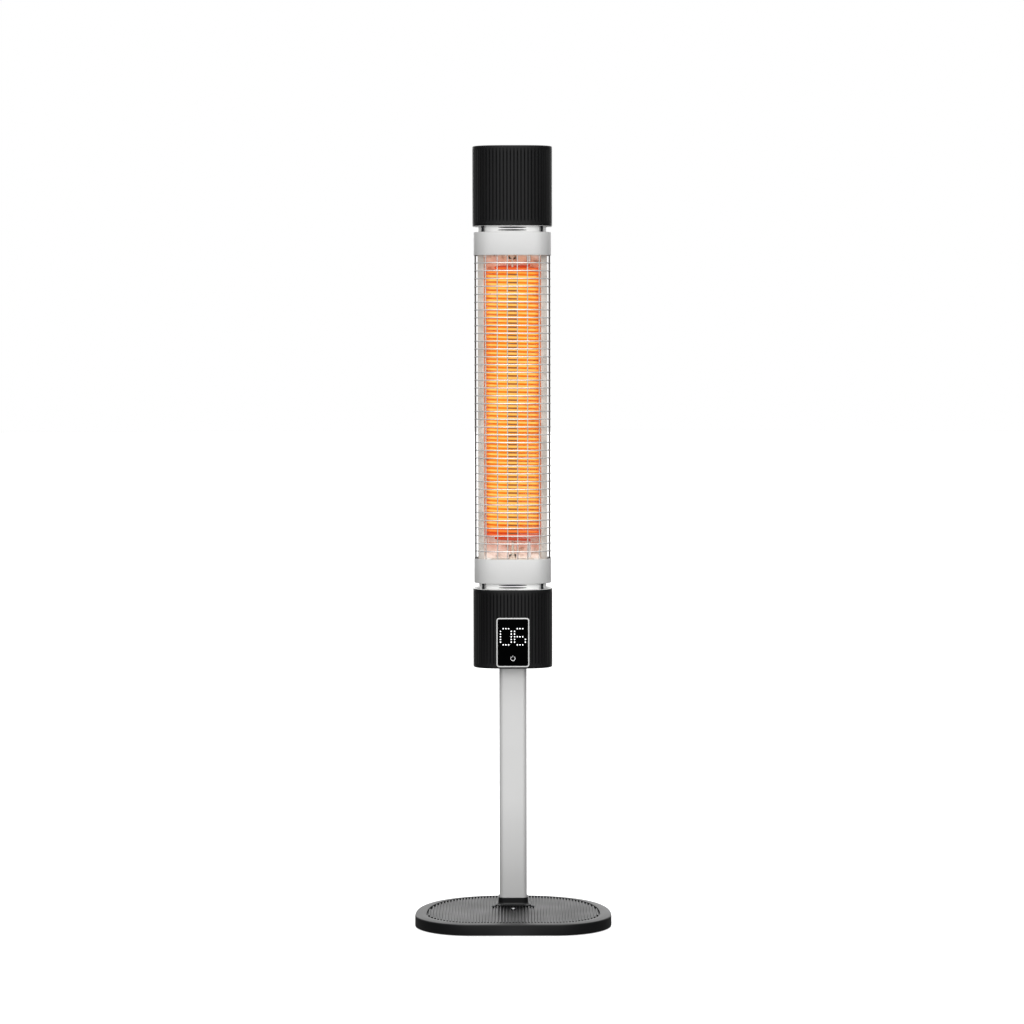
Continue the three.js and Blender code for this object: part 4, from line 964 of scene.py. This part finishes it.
def former_tie():
    """A thin rod on the former's axis, with a bead that fills the opening in each end wall."""
    y = (former_low.y + former_high.y) / 2
    low, high = former_low.z, former_high.z
    tie = cylinder("former_tie", BEAD_RADIUS, low, high, 0, y, 32)
    waist = BEAD_RADIUS - TIE_RADIUS
    slice_at(tie, low + BEAD_HEIGHT, low + BEAD_HEIGHT + waist,
             high - BEAD_HEIGHT - waist, high - BEAD_HEIGHT)
    share = TIE_RADIUS / BEAD_RADIUS
    pick(tie, "VERT", lambda corner: (
        low + BEAD_HEIGHT + waist / 2 < corner.z < high - BEAD_HEIGHT - waist / 2))
    bpy.ops.transform.resize(value=(share, share, 1), center_override=(0, y, low))
    return finished(tie)


# ---------------- rear panel

def rear_panel():
    """A curved back with side walls, and three short vents near each end."""
    inset = tower_depth / 2 + pole_y - rear_high.y

    def section(more):
        half = (rear_high.x - rear_low.x) / 2 - more
        points = [(half, rear_low.y)]
        for i in range(41):
            x = half * math.cos(math.pi * i / 40)
            share = abs(x) / (tower_width / 2 - inset - more)
            depth = (tower_depth / 2 - inset - more) * fall_off(share, SQUARENESS)
            points.append((x, pole_y + depth))
        return points + [(-half, rear_low.y)]

    panel = prism("rear_panel", section(0) + section(1.2 * MM)[::-1], rear_low.z, rear_high.z)
    model = block("vent_room", (-25 * MM, -10 * MM, -2 * MM), (25 * MM, 10 * MM, 2 * MM))
    bevel_along(model, 1, 1.9 * MM, 4)
    rises = [(42 + 12 * i) * MM for i in range(3)]
    heights = [band_high.z + rise for rise in rises] + [upper_band_low.z - rise + 4 * MM for rise in rises]
    vents = joined("vent_rooms", copies(model, [(0, rear_high.y, z) for z in heights]))
    return finished(cut_away(panel, vents))


# ---------------- display

def display_block(name, growth, front, back):
    """A block with the outline of the display's frame, grown all round."""
    piece = block(name, (bezel_low.x - growth, front, bezel_low.z - growth),
                  (bezel_high.x + growth, back, bezel_high.z + growth))
    return bevel_along(piece, 1, DISPLAY_CORNER + growth)


def display_bezel():
    """A thin bright frame with a softened front edge."""
    soft = 0.5 * MM
    front, back = bezel_low.y, bezel_high.y
    bezel = display_block("display_bezel", 0, front + soft, back)
    draw_end(bezel, FRONT, (0, front + soft), *rounding(soft, 0, front + soft, -1, 3),
             (BEZEL_WIDTH - 0.2 * MM, front), (BEZEL_WIDTH, front + 0.2 * MM))
    draw_end(bezel, BACK, (0, back), (BEZEL_WIDTH, back))
    open_through(bezel, FRONT)
    return finished(bezel)


def display_pane():
    front, back = pane_low.y, pane_high.y
    soft = 0.25 * MM
    pane = display_block("display_pane", -BEZEL_WIDTH - 0.1 * MM, front + soft, back)
    draw_end(pane, FRONT, (0, front + soft), (soft, front))
    return finished(pane)


DIGITS = {
    "0": ("01110", "10001", "10001", "10001", "10001", "10001", "01110"),
    "6": ("01110", "10000", "10000", "11110", "10001", "10001", "01110"),
}


def display_dots():
    """A lit read-out of two plain digits, each a grid of five by seven dots."""
    front = pane_low.y
    model = cross_cylinder("dot", DOT_RADIUS, front - 0.05 * MM, front + 0.1 * MM, 0, 0, 16)
    places = [(READOUT_LEFT + place * DIGIT_PITCH + column * DOT_PITCH, 0,
               bezel_low.z + READOUT_RISE - row * DOT_PITCH)
              for place, digit in enumerate("06")
              for row, pattern in enumerate(DIGITS[digit])
              for column, lit in enumerate(pattern) if lit == "1"]
    return finished(joined("display_dots", copies(model, places)))


def power_mark():
    """The on-off key's mark: an open ring with a short upright stroke."""
    y = pane_low.y
    z = bezel_low.z + 15.4 * MM
    radius = 3.9 * MM
    start, end = math.radians(132), math.radians(408)
    turns = [start + (end - start) * i / 36 for i in range(37)]
    ring = [Vector((radius * math.cos(turn), y, z + radius * math.sin(turn))) for turn in turns]
    stroke = [Vector((0, y, z + (2.2 + 1.3 * i) * MM)) for i in range(3)]
    return joined("power_mark", [wire("ring", ring, 0.2 * MM), wire("stroke", stroke, 0.2 * MM)])


# ---------------- small hardware

def screw_head(node):
    """A pan head with a cross recess, on its shank."""
    low, high, x, y = upright_axis(node)
    radius = (high.y - low.y) / 2
    under = high.z - 2 * MM
    rim = under + 0.5 * MM
    head = cylinder(node + "_head", radius, under, rim, x, y, 32)
    dome = [(radius * (1 - math.cos(turn)), rim + 1.5 * MM * math.sin(turn))
            for turn in (math.radians(15 * i) for i in range(1, 6))]
    draw_end(head, UP, (0, rim), *dome, (0.9 * radius, high.z))
    draw_end(head, DOWN, (0, under), (radius / 2, under), (radius / 2, low.z))
    reach, slit = 0.55 * radius, 0.45 * MM
    for across, along in ((reach, slit), (slit, reach)):
        cut_away(head, block("recess", (x - across, y - along, high.z - 0.8 * MM),
                             (x + across, y + along, high.z + 1 * MM)))
    return finished(head)


def rubber_foot(node):
    """A pad with a raised tread ring and a hollow round its screw."""
    low, high, x, y = upright_axis(node)
    side = low.z + 1 * MM
    pad = cylinder(node + "_pad", (high.y - low.y) / 2, side, high.z, x, y)
    draw_end(pad, DOWN, (0, side), (0.2 * MM, low.z + 0.3 * MM), (0.8 * MM, low.z), (4.4 * MM, low.z),
             (5 * MM, low.z + 0.6 * MM), (7 * MM, low.z + 0.8 * MM))
    return finished(pad)


def gland_nut():
    """The cord outlet: a six-sided flange on a necked sleeve with an open bore."""
    low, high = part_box("cord_gland")
    z = (low.z + high.z) / 2
    seat = casing_high.y + 0.3 * MM
    flange = cross_cylinder("flange", (high.x - low.x) / 2, seat, seat + 3.6 * MM, 0, z, 6)
    draw_end(flange, BACK, (0, seat + 3.6 * MM), (0.5 * MM, seat + 4 * MM))
    neck_radius, bore = 6 * MM, 3.6 * MM
    nose = high.y - 1.2 * MM
    sleeve_tube = cross_cylinder("gland_sleeve", neck_radius, low.y, nose, 0, z)
    wall = neck_radius - bore
    draw_end(sleeve_tube, BACK, (0, nose), (0.7 * MM, high.y - 0.3 * MM), (1.4 * MM, high.y), (wall, high.y))
    draw_end(sleeve_tube, FRONT, (0, low.y), (wall, low.y))
    open_through(sleeve_tube, FRONT)
    cut_away(flange, cross_cylinder("sleeve_room", neck_radius, low.y, high.y + 5 * MM, 0, z))
    return finished(joined("gland_nut", [flange, sleeve_tube]))


# ---------------- the object

def paint(node, finish):
    piece = frame["nodes"][node]
    piece.data.materials.clear()
    piece.data.materials.append(finish)


def paint_nodes(finishes):
    """Every CAD node takes the finish of its slot."""
    for part in frame["record"]["subparts"]:
        paint(part["node"], finishes[part["material_slot"]])


def make_finishes():
    # the last number is how dark the painted shade at the pole's foot gets
    satin = satin_aluminium("satin_aluminium", "Z", (0.63, 0.63, 0.625), 0.36, 0.3, 0.76)
    return {
        "black_plastic": moulded_plastic("black_plastic", (0.0035, 0.0035, 0.0038), 0.34, 0.3),
        "black_steel": plain_steel("black_steel", (0.045, 0.045, 0.05), 0.42),
        "rubber": rubber(),
        "satin_aluminium": satin,
        "polished_sheet": bright_sheet("bright_sheet", (0.95, 0.95, 0.94), 0.3),
        "guard_wire": plated_wire(),
        "steel": plain_steel("zinc_steel", (0.56, 0.56, 0.57), 0.34),
        "ceramic": unglazed_ceramic("pale_ceramic", (0.80, 0.73, 0.62)),
        "coil_wire": glowing_strand(),
        "display_glass": black_glass(),
        "circuit_board": circuit_board(),
        "white_plastic": moulded_plastic("white_plastic", (0.66, 0.64, 0.58), 0.5),
        "brass": plain_steel("brass", (0.72, 0.50, 0.20), 0.3),
    }


def build_object():
    finishes = make_finishes()

    def put(piece, slot, *nodes, finish=None):
        dress(piece, finish or finishes[slot], slot, *nodes)

    paint_nodes(finishes)
    paint("reflector", reflector_sheet())
    for node in ("lower_terminal", "upper_terminal"):
        paint(node, finishes["polished_sheet"])
    rolled = satin_aluminium("rolled_aluminium", "X", (0.60, 0.60, 0.595), 0.38, 0.25)
    drawn = moulded_plastic("fluted_plastic", (0.0035, 0.0035, 0.0038), 0.32, 0.32, 0.5 * MM)
    put(base_shell(), "black_plastic", "base_cover")
    put(base_ribs(), "black_plastic")
    put(collar_skirt(), "black_plastic", "pole_collar")
    put(pole_extrusion(), "satin_aluminium", "pole_tube")
    put(lower_casing(), "black_plastic", "lower_housing", finish=drawn)
    put(fluted_casing("cap_casing", cap_low.z, cap_high.z), "black_plastic", "top_cap", finish=drawn)
    for node in ("lower_band", "upper_band"):
        put(band(node + "_sheet", node), "satin_aluminium", node, finish=rolled)
    put(neck("lower_neck_sleeve", "lower_neck", casing_high.z, band_low.z, casing_high.z + 0.02 * MM),
        "polished_sheet", "lower_neck")
    put(neck("upper_neck_sleeve", "upper_neck", upper_band_high.z, cap_low.z, cap_low.z - 0.28 * MM),
        "polished_sheet", "upper_neck")
    # dark sleeves as painted shade behind the neck slots
    for end in ("lower", "upper"):
        put(neck_shade_sleeve(end + "_neck_liner", end + "_neck"), "black_steel")
    for end in ("lower", "upper"):
        for corner in ("front_left", "front_right", "rear_left", "rear_right"):
            node = f"{end}_spacer_{corner}"
            put(spacer_post(node), "black_steel", node)
    put(guard_rings(), "guard_wire", "wire_guard")
    put(inner_uprights(), "guard_wire")
    put(side_uprights(), "guard_wire", finish=plain_steel("dark_wire", (0.16, 0.155, 0.15), 0.4))
    put(heating_strand(), "coil_wire", "heating_coil")
    put(former_core(), "ceramic", "coil_former", finish=unglazed_ceramic("baked_ceramic", (0.34, 0.20, 0.10)))
    put(former_tie(), "ceramic")
    put(rear_panel(), "satin_aluminium", "rear_cover", finish=rolled)
    put(display_bezel(), "satin_aluminium", "display_frame")
    put(display_pane(), "display_glass", "display_glass")
    dots = lit_dots()
    put(display_dots(), "display_glass", finish=dots)
    put(power_mark(), "display_glass", finish=dots)
    for node, slot in (("cover_screw_left", "black_steel"), ("cover_screw_right", "black_steel"),
                       ("cover_screw_front", "steel"), ("bracket_bolt_left", "steel"),
                       ("bracket_bolt_right", "steel")):
        put(screw_head(node), slot, node)
    for corner in ("front_left", "front_right", "rear_left", "rear_right"):
        put(rubber_foot("foot_" + corner), "rubber", "foot_" + corner)
    put(gland_nut(), "black_plastic", "cord_gland")


# ---------------- studio

CAMERA_AWAY = 5.433                 # level distance to the tower's axis
CAMERA_HEIGHT = 1.0105
CAMERA_PITCH = math.radians(3.1205)
CAMERA_ROLL = math.radians(-0.086)
CAMERA_SIDE = -0.0012
FOCAL_PIXELS = 3100
FRAME_PIXELS = 1024
SENSOR = 36.0


def add_camera():
    turn = Matrix.Rotation(math.pi / 2 - CAMERA_PITCH, 3, "X") @ Matrix.Rotation(CAMERA_ROLL, 3, "Z")
    bpy.ops.object.camera_add(location=(CAMERA_SIDE, pole_y - CAMERA_AWAY, CAMERA_HEIGHT),
                              rotation=turn.to_euler())
    camera = bpy.context.object
    camera.data.sensor_width = SENSOR
    camera.data.lens = FOCAL_PIXELS / FRAME_PIXELS * SENSOR
    camera.data.clip_end = 60
    bpy.context.scene.camera = camera


def soft_light(place, size, power):
    """A large soft light that shows in no reflection."""
    target = Vector((0, 0, 0.6))
    bpy.ops.object.light_add(type="AREA", location=place)
    light = bpy.context.object
    light.rotation_euler = (target - Vector(place)).to_track_quat("-Z", "Y").to_euler()
    light.data.size = size
    light.data.energy = power
    light.visible_glossy = False


def studio_light(g, bearing):
    """Light by its level direction: strong from the front and behind, weak from both sides."""
    side = abs(g.axis("X", bearing))
    behind = g.clamped(g.axis("Y", bearing), 0.85, 0.98)
    front = g.ramp(side, (0.0, (1.0, 1.0, 1.0)), (0.25, (0.62, 0.62, 0.62)),
                   (0.55, (0.28, 0.28, 0.28)), (0.9, (0.14, 0.14, 0.14)))
    return g.mix(behind, front, (1.0, 1.0, 1.0))


def studio_sky():
    """White all round to the eye, and the studio's light to everything else."""
    g = Graph(bpy.data.worlds.new("studio"), "Generated")
    above = g.clamped(g.axis("Z"), 0.4, 0.8, 1.3, 3.6)
    lit = g.add("ShaderNodeBackground", {}, {"Color": studio_light(g, g.place), "Strength": above})
    seen = g.add("ShaderNodeBackground", {}, {"Color": (1, 1, 1), "Strength": 1.0})
    eye = g.add("ShaderNodeLightPath", {}, {}, "Is Camera Ray")
    sky = g.add("ShaderNodeMixShader", {}, {0: eye, 1: lit, 2: seen})
    g.fill(g.tree.nodes["World Output"], {"Surface": sky})
    bpy.context.scene.world = g.owner


def pale_floor():
    """A wide floor, white to the eye so that it fades into the background, that throws little light back."""
    deselect_all()
    bpy.ops.mesh.primitive_circle_add(vertices=96, radius=30, fill_type="NGON", location=(0, 0, -0.0005))
    floor = bpy.context.object
    floor.name = "floor"
    g = Graph(bpy.data.materials.new("pale_floor"))
    g.finish(Base_Color=(0.5, 0.5, 0.5), Roughness=0.9, Emission_Color=(1, 1, 1), Emission_Strength=0.7)
    seen = Value(g, g.tree.nodes["Principled BSDF"].outputs[0])
    bearing = g.add("ShaderNodeVectorMath", {"operation": "NORMALIZE"}, {0: g.place})
    thrown = g.add("ShaderNodeEmission", {}, {"Color": studio_light(g, bearing), "Strength": 0.85})
    eye = g.add("ShaderNodeLightPath", {}, {}, "Is Camera Ray")
    g.fill(g.tree.nodes["Material Output"], {"Surface": g.add(
        "ShaderNodeMixShader", {}, {0: eye, 1: thrown, 2: seen})})
    floor.data.materials.append(g.owner)


def set_studio():
    add_camera()
    for side in (-1, 1):
        soft_light((side * 2.2, -3.0, 1.4), 2.0, 62)
    soft_light((0, 2.5, 2.4), 2.5, 30)
    pale_floor()
    studio_sky()
    bpy.context.scene.view_settings.view_transform = "Standard"
    bpy.context.scene.view_settings.look = "None"


set_studio()
build_object()
